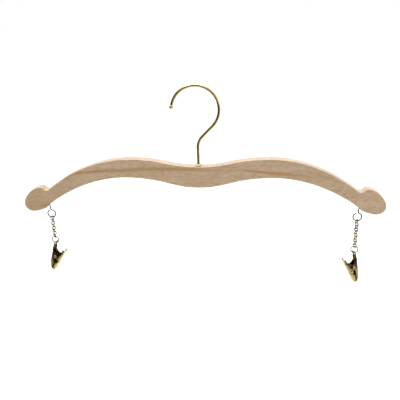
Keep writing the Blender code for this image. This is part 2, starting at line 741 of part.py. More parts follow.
def make_spring(side, hinge, pivot):
    points = spring_points()
    gap = least_gap(points, SPRING_WIRE)
    print(f"clip_{side}_spring: least gap to itself {gap / MM:.2f} mm")
    spring = wire(f"clip_{side}_spring", points, SPRING_WIRE / 2, SPRING_SIDES)
    place(spring, pivot, parent=hinge)
    finish(spring, SPRING_STEEL)


def make_clip(side, x, hang):
    """A clip hung by its tab on the jump ring, its lever towards the bar's middle."""
    if side == "left":
        lean, turn = LEFT_CLIP_HANG, -LEFT_CLIP_TURN
    else:
        lean, turn = RIGHT_CLIP_HANG, math.pi + RIGHT_CLIP_TURN
    hinge = empty(f"clip_{side}_hang", (x, 0.0, hang), (0.0, lean, turn))
    above_hole = (TAB_HOLE_DIAMETER - RING_WIRE) / 2 - TAB_PLAY
    pivot = (-tab_hole_x, 0.0, -tab_hole_z - above_hole)
    make_back_jaw(side, hinge, pivot)
    make_lever(side, hinge, pivot)
    make_pin(side, hinge, pivot)
    make_spring(side, hinge, pivot)


def main():
    make_bar()
    make_hook()
    make_bush()
    make_washer_and_nut()
    shape = link_mesh()
    for side, x, count in (("left", -eye_x, LEFT_LINKS), ("right", eye_x, RIGHT_LINKS)):
        make_eye(side, x)
        last = make_chain(side, x, count, shape)
        hang = make_jump_ring(side, x, last)
        make_clip(side, x, hang)
    bpy.data.meshes.remove(shape)


main()
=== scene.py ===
"""The looks of a wooden clip hanger: sanded beech under a thin lacquer, and plated wire.

Each piece here is a finer form of one solid of the frame, on the same sizes and in the
same place, and it rides on that solid's body.
"""

import json
import math

import bmesh
import bpy
from mathutils import Euler, Matrix, Vector


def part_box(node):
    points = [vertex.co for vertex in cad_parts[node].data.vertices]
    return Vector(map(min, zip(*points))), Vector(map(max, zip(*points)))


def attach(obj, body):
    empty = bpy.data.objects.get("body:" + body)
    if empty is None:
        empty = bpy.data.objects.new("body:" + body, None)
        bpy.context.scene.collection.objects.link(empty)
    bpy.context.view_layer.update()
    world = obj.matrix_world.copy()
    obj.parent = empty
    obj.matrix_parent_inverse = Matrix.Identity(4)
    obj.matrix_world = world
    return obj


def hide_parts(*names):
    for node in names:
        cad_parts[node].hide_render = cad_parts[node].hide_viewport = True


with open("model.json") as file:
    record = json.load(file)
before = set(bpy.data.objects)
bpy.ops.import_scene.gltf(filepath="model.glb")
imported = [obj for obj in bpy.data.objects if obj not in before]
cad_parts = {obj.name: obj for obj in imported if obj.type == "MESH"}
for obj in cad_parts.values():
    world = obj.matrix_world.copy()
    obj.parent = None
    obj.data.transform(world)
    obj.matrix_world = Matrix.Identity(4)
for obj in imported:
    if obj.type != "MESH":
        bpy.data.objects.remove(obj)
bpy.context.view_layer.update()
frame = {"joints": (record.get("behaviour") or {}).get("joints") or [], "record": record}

MM = 0.001
QUARTER_TURN = math.radians(90.0)
JOINTS = {joint["name"]: joint for joint in frame["joints"]}
BODY_OF = {node: body for body, nodes in frame["record"]["behaviour"]["bodies"].items()
           for node in nodes}

# Sizes that the pieces share with the frame
SEAT_GAP = 0.3 * MM
CUT_OVERRUN = 1.5 * MM

# Wooden bar
BAR_LENGTH = 445.0 * MM
BAR_RISE = 67.8 * MM
BAR_THICKNESS = 12.0 * MM
BAR_EDGE_ROUND = 1.0 * MM
BAR_EDGE_STEPS = 6
BAR_FACE_RIM = 0.3 * MM        # a flat rim that keeps the rounding off the face's shade
BAR_OUTLINE_STEPS = 6
# The right half of the outline, from the middle of the top edge round the end to the
# middle of the underside, as shares of half the length and of the rise
BAR_OUTLINE_SHARES = (
    (0.0, 0.0), (0.072, 0.010), (0.144, 0.044), (0.216, 0.093), (0.288, 0.125),
    (0.364, 0.139), (0.431, 0.132), (0.503, 0.099), (0.575, 0.040), (0.647, -0.047),
    (0.719, -0.159), (0.791, -0.307), (0.827, -0.389),
    # strap notch and the nib outside it
    (0.846, -0.441), (0.855, -0.454), (0.8655, -0.4555), (0.875, -0.445),
    (0.887, -0.411), (0.8965, -0.398),
    # round end
    (0.912, -0.407), (0.926, -0.420), (0.939, -0.441), (0.953, -0.472),
    (0.966, -0.510), (0.9775, -0.5515), (0.9865, -0.593), (0.994, -0.634),
    (0.9987, -0.680), (1.0, -0.730), (0.9975, -0.777), (0.990, -0.817),
    (0.975, -0.855), (0.953, -0.871), (0.928, -0.862), (0.899, -0.836),
    (0.874, -0.799), (0.854, -0.7415),
    # underside of the arm
    (0.827, -0.672), (0.791, -0.594), (0.719, -0.464), (0.647, -0.361),
    (0.575, -0.283), (0.503, -0.231), (0.431, -0.205), (0.3955, -0.202),
    (0.3595, -0.206), (0.288, -0.227), (0.216, -0.268), (0.144, -0.326),
    (0.072, -0.374), (0.0, -0.3875),
)

# Wire hook
HOOK_WIRE = 3.5 * MM
CROWN_RADIUS = 27.75 * MM
CROWN_OFFSET = 2.25 * MM
LOWER_BEND_SHARE = 0.75
LOWER_BEND_HEIGHT = 22.8 * MM
HOOK_END_ANGLE = math.radians(168.5)
HOOK_ARC_STEP = math.radians(2.0)
HOOK_WIRE_END = 1.0 * MM
BALL_DIAMETER = 5.0 * MM
BALL_DIVISIONS = 5
HOOK_SIDES = 32

# Bush, washer and nut
BUSH_FLANGE_DIAMETER = 8.0 * MM
BUSH_NECK_DIAMETER = 5.6 * MM
BUSH_HEAD_HEIGHT = 2.5 * MM
BUSH_RIM = 0.7 * MM
BUSH_SLEEVE_DIAMETER = 6.0 * MM
BUSH_SLEEVE_LENGTH = 9.0 * MM
COUNTERBORE_DIAMETER = 9.0 * MM
COUNTERBORE_DEPTH = 6.6 * MM
WASHER_DIAMETER = 8.0 * MM
WASHER_THICKNESS = 0.8 * MM
NUT_ACROSS_FLATS = 7.0 * MM
NUT_FLATS = 6
NUT_HEIGHT = 3.2 * MM
TURNED_EDGE = 0.25 * MM
TURNED_EDGE_STEPS = 3

# Screw eyes
EYE_PLACE_SHARE = 0.860
EYE_WIRE = 1.3 * MM
EYE_RING_DIAMETER = 11.5 * MM
EYE_NECK_RADIUS = 1.6 * MM
EYE_DROP = 13.0 * MM
EYE_THREAD_DEPTH = 12.0 * MM
EYE_LEAN = math.radians(5.0)
EYE_RING_END = math.radians(112.0)
EYE_ARC_STEP = math.radians(5.0)
SMALL_WIRE_SIDES = 20

# Chains and jump rings
LINK_WIRE = 1.05 * MM
LINK_LENGTH = 6.0 * MM
LINK_WIDTH = 5.4 * MM
LINK_TURN = math.radians(45.0)
LINK_ROUND_SHARE = 0.96        # of the largest round that the link's end could have
LINK_ROUND_STEPS = 10
LINK_SIDES = 14
LINK_COUNTS = {"left": 8, "right": 10}
RING_WIRE = 1.0 * MM
RING_DIAMETER = 9.6 * MM
RING_SLIT = math.radians(6.0)
RING_SLIT_PLACE = math.radians(150.0)
RING_STEPS = 96

# Clips.  Lengths run from the pin: up to the tab, down to the nose, out to each sheet
CLIP_TAB_REACH = 20.5 * MM
CLIP_NOSE_REACH = 21.0 * MM
CLIP_BACK_SPREAD = 5.5 * MM
CLIP_FRONT_SPREAD = 7.5 * MM
CLIP_HANDLE_REACH = 15.8 * MM
CLIP_WIDTH = 8.0 * MM
CLIP_SHEET = 0.8 * MM
CLIP_EAR_RADIUS = 3.4 * MM
CLIP_HANGS = {"left": math.radians(20.0), "right": math.radians(13.5)}
CLIP_SHEET_STEPS = 8
CLIP_ROW_STEP = 0.2 * MM
CLIP_BEND = 0.55 * MM
CLIP_BEND_STEPS = 4
CLIP_EDGE_ROUND = 0.14 * MM
CLIP_EDGE_STEPS = 2
LIP_BEND = 0.7 * MM
LIP_STEPS = 5
TAB_HOLE_DIAMETER = 3.8 * MM
TAB_HOLE_EDGE = 2.7 * MM
TAB_WIDTH = 6.4 * MM
EAR_ARC_SHARE = 0.42
EAR_ARC_STEPS = 20
BACK_SHEET_SHARES = (
    (-1.00, 1.0), (-1.02, 0.83), (-1.02, 0.585), (-1.01, 0.293), (-1.0, 0.0),
    (-1.0, -0.286), (-0.96, -0.548), (-0.80, -0.786), (-0.56, -0.93), (-0.45, -1.0),
)
FRONT_SHEET_SHARES = (
    (1.53, 1.0), (1.48, 0.845), (1.39, 0.64), (1.21, 0.34), (1.0, 0.0),
    (0.78, -0.286), (0.56, -0.548), (0.39, -0.786), (0.31, -0.93), (0.30, -1.0),
)
BACK_NARROW_SHARES = (
    (1.0, 3.1), (0.985, 2.2), (0.96, 1.5), (0.92, 1.05), (0.88, 1.0), (0.66, 1.0),
    (0.60, 0.0), (-1.0, 0.0))
FRONT_NARROW_SHARES = (
    (1.0, 0.8), (0.96, 0.55), (0.74, 0.45), (0.62, 1.0), (-0.28, 1.0), (-0.42, 0.0),
    (-1.0, 0.0))
BACK_FLANGE_SHARES = (
    (-0.25, -0.955), (-0.42, -0.81), (-0.48, -0.58), (-0.45, -0.38), (-0.28, -0.21))
BACK_EAR_TOP_SHARES = ((-0.40, 0.22), (-0.85, 0.34))
FRONT_FLANGE_SHARES = (
    (0.09, -0.955), (0.02, -0.81), (0.08, -0.58), (0.22, -0.38), (0.16, -0.21))
FRONT_EAR_TOP_SHARES = ((0.62, 0.36), (0.98, 0.58), (1.13, 0.80), (1.20, 0.96))

# Clip pins and springs
PIN_DIAMETER = 2.2 * MM
PIN_BORE_DIAMETER = 1.2 * MM
PIN_HEAD_DIAMETER = 3.8 * MM
PIN_HEAD_HEIGHT = 0.7 * MM
PIN_ROLL_STEPS = 10
PIN_STEPS = 40
SPRING_WIRE = 0.7 * MM
SPRING_PITCH = 1.2 * MM
SPRING_TURNS = 2
SPRING_CURL_POINTS = 36
SPRING_BACK_LEG = 9.0 * MM
SPRING_FRONT_LEG = 8.2 * MM
SPRING_SIDES = 12

ROUND_STEPS = 64
SHARP_ANGLE = math.radians(38)
EASED_EDGE_ANGLE = math.radians(50)

# The camera of the reference view: metres, angles, and the lens in pixels
CAMERA_PLACE = (0.06065, -0.57523, 0.08427)
CAMERA_YAW = math.radians(5.97)
CAMERA_PITCH = math.radians(21.0)
CAMERA_ROLL = math.radians(-1.66)
FOCAL_PIXELS = 502.3
FRAME_PIXELS = 400
SENSOR = 36.0
CAMERA_SEES = (0.01, 100.0)


def arc(centre, radius, start, end, step):
    """Points on a circle in the XZ plane, both ends included."""
    count = max(1, math.ceil(abs(end - start) / step))
    angles = [start + (end - start) * i / count for i in range(count + 1)]
    return [(centre[0] + radius * math.cos(a), centre[1] + radius * math.sin(a))
            for a in angles]


def smooth_through(knots, steps, closed=False):
    """Points on a Catmull-Rom curve through the knots."""
    ends = (knots[-1:], knots[:2]) if closed else (knots[:1], knots[-1:])
    run = [Vector(knot) for knot in ends[0] + knots + ends[1]]
    line = []
    for before, here, there, after in zip(run, run[1:], run[2:], run[3:]):
        for step in range(steps):
            t = step / steps
            line.append(0.5 * (2 * here + (there - before) * t
                               + (2 * before - 5 * here + 4 * there - after) * t * t
                               + (3 * here - before - 3 * there + after) * t ** 3))
    if not closed:
        line.append(Vector(knots[-1]))
    return [tuple(point) for point in line]


def offset_line(line, distance):
    """The line moved sideways by a distance, to the left of its direction."""
    moved = []
    for behind, point, ahead in zip(line[:1] + line, line, line[1:] + line[-1:]):
        along = (Vector(ahead) - Vector(behind)).normalized()
        moved.append((point[0] - along.y * distance, point[1] + along.x * distance))
    return moved


def height_on(line, x):
    """The height of a line, which runs along X, at one place."""
    for (x0, z0), (x1, z1) in zip(line, line[1:]):
        if min(x0, x1) <= x <= max(x0, x1) and x0 != x1:
            return z0 + (z1 - z0) * (x - x0) / (x1 - x0)
    return line[-1][1]


def place_on(line, z):
    """The X of a line, which runs up or down, at one height."""
    return height_on([(height, x) for x, height in line], z)


# Heights that several pieces share
wood_top = JOINTS["hook_swivel"]["pos_m"][2]
half_length = BAR_LENGTH / 2
bar_side = [(x * half_length, wood_top + z * BAR_RISE) for x, z in BAR_OUTLINE_SHARES]
wood_bottom = bar_side[-1][1]
bore_radius = HOOK_WIRE / 2 + SEAT_GAP
eye_x = EYE_PLACE_SHARE * half_length
eye_z = height_on(bar_side[len(bar_side) // 2:], eye_x) - EYE_DROP
washer_top = wood_bottom + COUNTERBORE_DEPTH - SEAT_GAP
nut_top = washer_top - WASHER_THICKNESS - SEAT_GAP
nut_bottom = nut_top - NUT_HEIGHT


def new_object(name, mesh):
    obj = bpy.data.objects.new(name, mesh)
    bpy.context.scene.collection.objects.link(obj)
    return obj


def mesh_from(name, shell):
    mesh = bpy.data.meshes.new(name)
    shell.to_mesh(mesh)
    shell.free()
    return mesh


def evaluated_mesh(obj):
    """A plain mesh of an object with its modifiers run.  The object goes."""
    bpy.context.view_layer.update()
    graph = bpy.context.evaluated_depsgraph_get()
    mesh = bpy.data.meshes.new_from_object(obj.evaluated_get(graph))
    bpy.data.objects.remove(obj, do_unlink=True)
    return mesh


def piece(name, mesh, material, node):
    """A finished piece that stands for a node of the frame and rides on its body."""
    mesh.name = name
    mesh.materials.clear()
    mesh.materials.append(material)
    mesh.shade_smooth()
    mesh.set_sharp_from_angle(angle=SHARP_ANGLE)
    obj = new_object(name, mesh)
    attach(obj, BODY_OF[node])
    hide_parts(node)
    return obj


# Materials


def in_metres(values):
    return [value * MM for value in values]


class Nodes:
    """A short way to add nodes to a tree and join them."""

    def __init__(self, tree):
        self.tree = tree
        tree.nodes.clear()

    def add(self, kind, settings=None, **values):
        made = self.tree.nodes.new(kind)
        for key, value in (settings or {}).items():
            setattr(made, key, value)
        for key, value in values.items():
            label = key.replace("_", " ")
            self.put(made.inputs[label], value)
        return made

    def put(self, socket, value):
        if isinstance(value, bpy.types.NodeSocket):
            self.tree.links.new(value, socket)
        else:
            socket.default_value = value

    def math(self, operation, *values):
        made = self.tree.nodes.new("ShaderNodeMath")
        made.operation = operation
        for socket, value in zip(made.inputs, values):
            self.put(socket, value)
        return made.outputs[0]

    def times(self, first, second):
        return self.math("MULTIPLY", first, second)

    def fade(self, value, low, high, start=0.0, end=1.0, kind="SMOOTHSTEP"):
        """A change from start to end as the value goes from low to high, then held."""
        made = self.tree.nodes.new("ShaderNodeMapRange")
        made.interpolation_type = kind
        for label, amount in (("Value", value), ("From Min", low), ("From Max", high),
                              ("To Min", start), ("To Max", end)):
            self.put(made.inputs[label], amount)
        return made.outputs["Result"]

    def mix(self, share, first, second):
        """A colour between two colours."""
        made = self.tree.nodes.new("ShaderNodeMix")
        made.data_type = "RGBA"
        for place, value in ((0, share), (6, first), (7, second)):
            self.put(made.inputs[place], value)
        return made.outputs[2]

    def placed(self, coordinates, centre=(0.0, 0.0, 0.0), turn=(0.0, 0.0, 0.0),
               sizes=(1.0, 1.0, 1.0)):
        """Coordinates round a centre, turned, and counted in sizes."""
        made = self.tree.nodes.new("ShaderNodeMapping")
        made.vector_type = "TEXTURE"
        self.put(made.inputs["Vector"], coordinates)
        made.inputs["Location"].default_value = centre
        made.inputs["Rotation"].default_value = turn
        made.inputs["Scale"].default_value = sizes
        return made.outputs[0]

    def noise(self, coordinates, sizes, detail, roughness):
        """Soft marks of these sizes in millimetres, as a value from 0 to 1."""
        local = self.placed(coordinates, sizes=in_metres(sizes))
        made = self.add("ShaderNodeTexNoise", Vector=local, Scale=1.0, Detail=detail,
                        Roughness=roughness)
        return made.outputs[0]


def cleared_nodes(owner, output_kind):
    """The empty shader tree of a material or a world, and its output."""
    owner.use_nodes = True
    nodes = Nodes(owner.node_tree)
    return nodes, nodes.add(output_kind)


def new_material(name):
    material = bpy.data.materials.new(name)
    nodes, output = cleared_nodes(material, "ShaderNodeOutputMaterial")
    shader = nodes.add("ShaderNodeBsdfPrincipled")
    nodes.put(output.inputs[0], shader.outputs[0])
    return material, nodes, shader


def dress(nodes, shader, colour, rough, marks, relief):
    """Give a shader its colour, its roughness and the relief of its marks."""
    strength, height = relief
    bump = nodes.add("ShaderNodeBump", Strength=strength, Distance=height, Height=marks)
    nodes.put(shader.inputs["Base Color"], colour)
    nodes.put(shader.inputs["Roughness"], rough)
    nodes.put(shader.inputs["Normal"], bump.outputs[0])


# Colours of the wood, as linear values
WOOD_LIGHT = (0.560, 0.412, 0.272, 1.0)
WOOD_MIDDLE = (0.480, 0.342, 0.213, 1.0)
WOOD_DARK = (0.385, 0.255, 0.146, 1.0)
WOOD_FLECK = (0.200, 0.115, 0.062, 1.0)
WOOD_AMBER = (0.360, 0.190, 0.055, 1.0)

# The wood's marks: millimetres along the bar, through it and up it, detail, roughness
WAVER = ((90, 50, 30), 1.0, 0.5)
WAVER_HEIGHT = 5.0 * MM
CLOUDS = ((50, 30, 20), 2.0, 0.5)
GRAIN = {"bands": ((160, 12, 6), 3.0, 0.55), "fibres": ((22, 1.1, 0.7), 4.0, 0.6),
         "fine": ((7, 0.4, 0.3), 2.0, 0.6), "mottle": ((9, 3, 1.8), 2.0, 0.55),
         "flecks": ((5, 1.4, 0.6), 1.0, 0.5)}

# How much each kind of mark counts in the tone, and where the tone turns to each colour
TONE_SHARES = {"fibres": 0.25, "bands": 0.20, "fine": 0.25, "mottle": 0.30}
MIDDLE_TONES = (0.38, 0.54)
LIGHT_TONES = (0.48, 0.66)
FLECK_TONES = (0.61, 0.70)
FLECK_SHARE = 0.65
WARM_TONES = (0.42, 0.70)
WARM_SHARE = 0.22
WARM_END_PLACES = (-200.0 * MM, -100.0 * MM)
WARM_END_SHARE = 0.16

# Softer brown places near the ends, in millimetres and degrees: middle, lean, half sizes
# along, through and up, and share
BROWN_PLACES = (((151, -6, -103.5), 20, (24, 9, 2.6), 0.45),
                ((-190, -6, -142.5), -7, (19, 6, 1.9), 0.75))
BROWN_FADE = (0.25, 1.0)

# The lacquer over the wood, and what shows of the grain in it
LACQUER_ROUGHNESS = (0.38, 0.54)
LACQUER_COAT = {"Coat Weight": 1.0, "Coat Roughness": 0.28, "IOR": 1.5}
GRAIN_TONES = (0.3, 0.7)
FINE_RELIEF = 0.5
FLECK_RELIEF = -0.35
GRAIN_RELIEF = (0.35, 0.06 * MM)    # strength and height

# Where the amber streak runs on the front: millimetres along the bar and up, strength,
# half height
STREAK_PLACES = (
    (-176, -113.0, 0.0, 2.4), (-158, -104.6, 0.50, 2.4), (-146, -101.3, 0.95, 2.6),
    (-119, -99.1, 1.0, 2.8), (-97, -97.7, 0.95, 3.0), (-64, -96.6, 0.90, 3.6),
    (-41, -96.3, 0.95, 3.8), (-4, -96.6, 0.85, 3.4), (10, -97.0, 0.65, 3.0),
    (33, -98.4, 0.40, 2.4), (46, -97.3, 0.50, 2.2), (64, -98.4, 0.90, 2.6),
    (87, -101.0, 0.95, 2.8), (118, -103.4, 0.60, 2.4), (134, -105.6, 0.40, 2.2),
    (160, -110.5, 0.0, 2.0))
STREAK_RAGGED = 1.6 * MM
STREAK_LEAN = 0.35             # how far the streak falls for each step into the wood
STREAK_FADE = (0.2, 1.0)
STREAK_SHARE = 0.78


def along_bar(nodes, x, column):
    """One of the streak's values at each place along the bar."""
    first, last = STREAK_PLACES[0][0], STREAK_PLACES[-1][0]
    values = [row[column] for row in STREAK_PLACES]
    low, high = min(values), max(values)
    curve = nodes.tree.nodes.new("ShaderNodeFloatCurve")
    share = nodes.fade(x, first * MM, last * MM, kind="LINEAR")
    nodes.put(curve.inputs["Value"], share)
    points = curve.mapping.curves[0].points
    while len(points) < len(STREAK_PLACES):
        points.new(0.5, 0.5)
    for point, row in zip(points, STREAK_PLACES):
        point.location = ((row[0] - first) / (last - first),
                          (row[column] - low) / (high - low))
    curve.mapping.update()
    return nodes.math("MULTIPLY_ADD", curve.outputs[0], high - low, low)


def patch(nodes, coordinates, centre, lean, half_sizes):
    """A soft-edged spot: 1 in its middle and 0 outside."""
    local = nodes.placed(coordinates, in_metres(centre), (0.0, math.radians(lean), 0.0),
                         in_metres(half_sizes))
    away = nodes.add("ShaderNodeVectorMath", {"operation": "LENGTH"})
    nodes.put(away.inputs[0], local)
    return nodes.fade(away.outputs["Value"], *BROWN_FADE, 1.0, 0.0)


def amber_streak(nodes, x, y, z, fibres):
    """How strong the amber streak is, which runs on into the thickness."""
    line = nodes.times(along_bar(nodes, x, 1), MM)
    depth = nodes.math("ADD", y, BAR_THICKNESS / 2)
    line = nodes.math("MULTIPLY_ADD", depth, -STREAK_LEAN, line)
    away = nodes.math("ABSOLUTE", nodes.math("SUBTRACT", z, line))
    reach = nodes.math("MULTIPLY_ADD", along_bar(nodes, x, 3), MM, -STREAK_RAGGED / 2)
    ragged = nodes.math("MULTIPLY_ADD", fibres, STREAK_RAGGED, reach)
    streak = nodes.fade(nodes.math("DIVIDE", away, ragged), *STREAK_FADE, 1.0, 0.0)
    return nodes.times(streak, along_bar(nodes, x, 2))


def beech():
    """Sanded beech: long fine fibres, short dark flecks, soft bands and one streak."""
    material, nodes, shader = new_material("lacquered beech")
    where = nodes.add("ShaderNodeTexCoord").outputs["Object"]

    # fibres waver a little along the board
    waver = nodes.noise(where, *WAVER)
    x, y, z = nodes.add("ShaderNodeSeparateXYZ", Vector=where).outputs
    height = nodes.math("MULTIPLY_ADD", waver, WAVER_HEIGHT, z)
    grain = nodes.add("ShaderNodeCombineXYZ", X=x, Y=y, Z=height).outputs[0]

    marks = {name: nodes.noise(grain, *values) for name, values in GRAIN.items()}
    fibres = marks["fibres"]
    fleck = nodes.fade(marks["flecks"], *FLECK_TONES)

    # how pale the wood is at each place
    tone = 0.0
    for name, share in TONE_SHARES.items():
        tone = nodes.math("MULTIPLY_ADD", marks[name], share, tone)
    colour = nodes.mix(nodes.fade(tone, *MIDDLE_TONES), WOOD_DARK, WOOD_MIDDLE)
    colour = nodes.mix(nodes.fade(tone, *LIGHT_TONES), colour, WOOD_LIGHT)
    clouds = nodes.noise(where, *CLOUDS)
    tints = [(nodes.fade(clouds, *WARM_TONES), WARM_SHARE, WOOD_AMBER),
             (nodes.fade(x, *WARM_END_PLACES, 1.0, 0.0), WARM_END_SHARE, WOOD_AMBER),
             (fleck, FLECK_SHARE, WOOD_FLECK),
             (amber_streak(nodes, x, y, z, fibres), STREAK_SHARE, WOOD_AMBER)]
    for *spot, share in BROWN_PLACES:
        tints.append((patch(nodes, grain, *spot), share, WOOD_AMBER))
    for strength, share, tint in tints:
        colour = nodes.mix(nodes.times(strength, share), colour, tint)

    rough = nodes.fade(fibres, *GRAIN_TONES, *LACQUER_ROUGHNESS)
    relief = nodes.math("MULTIPLY_ADD", marks["fine"], FINE_RELIEF, fibres)
    relief = nodes.math("MULTIPLY_ADD", fleck, FLECK_RELIEF, relief)
    dress(nodes, shader, colour, rough, relief, GRAIN_RELIEF)
    for label, value in LACQUER_COAT.items():
        shader.inputs[label].default_value = value
    return material


# Colours of the metals, as linear values
GOLD_PALE = (0.92, 0.79, 0.40, 1.0)
GOLD_DEEP = (0.78, 0.63, 0.27, 1.0)
# painted shade and dark reflection: a dark brown laid on the clips' hollows and lever
# flanges
PAINTED_SHADE = (0.085, 0.043, 0.022, 1.0)

# The metals: pale and deep colour, roughness, sizes of the fine marks in millimetres,
# and the tint of a reflection at a grazing angle
DRAWN = (0.5, 0.5, 3.0)
TUMBLED = (0.4,) * 3
METALS = {
    "bright gold plate": (GOLD_PALE, GOLD_DEEP, 0.14, DRAWN, None),
    "lever plate": (GOLD_PALE, GOLD_DEEP, 0.16, TUMBLED, None),
    "back jaw plate": (GOLD_PALE, GOLD_DEEP, 0.18, TUMBLED, (0.30, 0.22, 0.08, 1.0)),
    "aged gold plate": ((0.64, 0.48, 0.08, 1.0), (0.06, 0.042, 0.008, 1.0), 0.17, TUMBLED,
                        (0.34, 0.24, 0.04, 1.0)),
    "dark bronze plate": ((0.085, 0.064, 0.032, 1.0), (0.03, 0.022, 0.012, 1.0), 0.20,
                          TUMBLED, (0.06, 0.045, 0.025, 1.0)),
    "plated spring wire": ((0.62, 0.52, 0.32, 1.0), (0.34, 0.27, 0.15, 1.0), 0.24, TUMBLED,
                           None)}
METAL_CLOUDS = ((3.5,) * 3, 2.0, 0.5)
METAL_CLOUD_TONES = (0.35, 0.65)
METAL_SPECKS = ((0.45,) * 3, 2.0, 0.7)
METAL_SPECK_TONES = (0.60, 0.72)
METAL_SPECK_SHARE = 0.25
MARK_DETAIL = 3.0
MARK_ROUGHNESS = 0.6
MARK_TONES = (0.3, 0.7)
MARK_ROUGH_SHARES = (0.75, 1.35)
MARK_RELIEF = (0.25, 0.02 * MM)     # strength and height

# Where painted shade and dark reflection lie in the clips, in dark brown, counted from the
# pin
TAB_PAINTED_SHADE_HEIGHTS = {"left": (-15.0 * MM, -5.0 * MM), "right": (-7.0 * MM, 0.0)}
TAB_PAINTED_SHADE_SHARE = 0.92
TAB_INSIDE_HALF_WIDTHS = (3.1 * MM, 3.3 * MM)
TAB_INSIDE_REACHES = (-5.6 * MM, -5.2 * MM)
INSIDE_SHARE = 0.9
LEVER_SLOPE = 0.26             # how far a lever leans outwards for each step up
LEVER_PAINTED_SHADE_SHARES = {"left": (0.88, 0.88), "right": (0.10, 0.95)}
LEVER_MOTTLE = ((1.3, 1.3, 2.2), 1.0, 0.5)
LEVER_MOTTLE_TONES = (0.40, 0.53)
LEVER_UPPER_HEIGHTS = (-1.0 * MM, 2.5 * MM)
LEVER_UPPER_SHARE = 0.90
LEVER_NOSE_HEIGHTS = (-17.0 * MM, -10.0 * MM)
LEVER_FLARE_HEIGHTS = (2.0 * MM, 10.0 * MM)
LEVER_FLARE = 1.9 * MM
LEVER_FLANGE_REACHES = (4.6 * MM, 6.4 * MM)
LEVER_INSIDE_HALF_WIDTHS = (2.1 * MM, 2.4 * MM)
LEVER_INSIDE_REACHES = (7.0 * MM, 7.4 * MM)


def clip_axes(nodes, where, side):
    """Places counted from a clip's pin, along the clip's own axes."""
    place = clip_place(side)
    local = nodes.placed(where, place.translation, place.to_euler())
    return nodes.add("ShaderNodeSeparateXYZ", Vector=local).outputs


def between_flanges(nodes, y, half_widths):
    """Full between a sheet's two flanges and none on their outer sides."""
    return nodes.fade(nodes.math("ABSOLUTE", y), *half_widths, INSIDE_SHARE, 0.0)


def tab_painted_shade(nodes, where, side):
    """Painted shade and dark reflection inside a back jaw and on its upper part."""
    x, y, z = clip_axes(nodes, where, side)
    upper = nodes.fade(z, *TAB_PAINTED_SHADE_HEIGHTS[side], 0.0, TAB_PAINTED_SHADE_SHARE)
    inside = nodes.times(between_flanges(nodes, y, TAB_INSIDE_HALF_WIDTHS),
                         nodes.fade(x, *TAB_INSIDE_REACHES))
    return nodes.math("MAXIMUM", upper, inside)


def lever_painted_shade(nodes, where, side):
    """Painted shade and dark reflection inside a lever and on its flanges, away from its
    sheet and its nose.
    """
    x, y, z = clip_axes(nodes, where, side)
    mottle = nodes.noise(where, *LEVER_MOTTLE)
    strength = nodes.fade(mottle, *LEVER_MOTTLE_TONES, *LEVER_PAINTED_SHADE_SHARES[side])
    upper = nodes.fade(z, *LEVER_UPPER_HEIGHTS, 0.0, LEVER_UPPER_SHARE)
    strength = nodes.math("MAXIMUM", strength, upper)
    out = nodes.math("MULTIPLY_ADD", z, -LEVER_SLOPE, x)
    flare = nodes.fade(z, *LEVER_FLARE_HEIGHTS, 0.0, LEVER_FLARE)
    beside = nodes.math("SUBTRACT", out, flare)
    flanges = nodes.fade(beside, *LEVER_FLANGE_REACHES, strength, 0.0)
    flanges = nodes.times(flanges, nodes.fade(z, *LEVER_NOSE_HEIGHTS))
    inside = nodes.times(between_flanges(nodes, y, LEVER_INSIDE_HALF_WIDTHS),
                         nodes.fade(out, *LEVER_INSIDE_REACHES, 1.0, 0.0))
    return nodes.math("MAXIMUM", flanges, inside)


def plated(metal, side="", painted_shade=None):
    """Plated metal: a slightly uneven colour, fine drawing marks and soft wear, with
    painted shade and dark reflection where a mask is given.
    """
    pale, deep, roughness, mark_sizes, edge = METALS[metal]
    material, nodes, shader = new_material(f"{side} {metal}".strip())
    where = nodes.add("ShaderNodeTexCoord").outputs["Object"]
    clouds = nodes.noise(where, *METAL_CLOUDS)
    marks = nodes.noise(where, mark_sizes, MARK_DETAIL, MARK_ROUGHNESS)
    specks = nodes.noise(where, *METAL_SPECKS)
    colour = nodes.mix(nodes.fade(clouds, *METAL_CLOUD_TONES), deep, pale)
    worn = nodes.times(nodes.fade(specks, *METAL_SPECK_TONES), METAL_SPECK_SHARE)
    colour = nodes.mix(worn, colour, deep)
    # painted shade and dark reflection, laid on in dark brown where a mask is given
    if painted_shade:
        colour = nodes.mix(painted_shade(nodes, where, side), colour, PAINTED_SHADE)
    smoothest, roughest = (roughness * share for share in MARK_ROUGH_SHARES)
    rough = nodes.fade(marks, *MARK_TONES, smoothest, roughest)
    dress(nodes, shader, colour, rough, marks, MARK_RELIEF)
    shader.inputs["Metallic"].default_value = 1.0
    if edge:
        shader.inputs["Specular Tint"].default_value = edge
    return material


# The bar


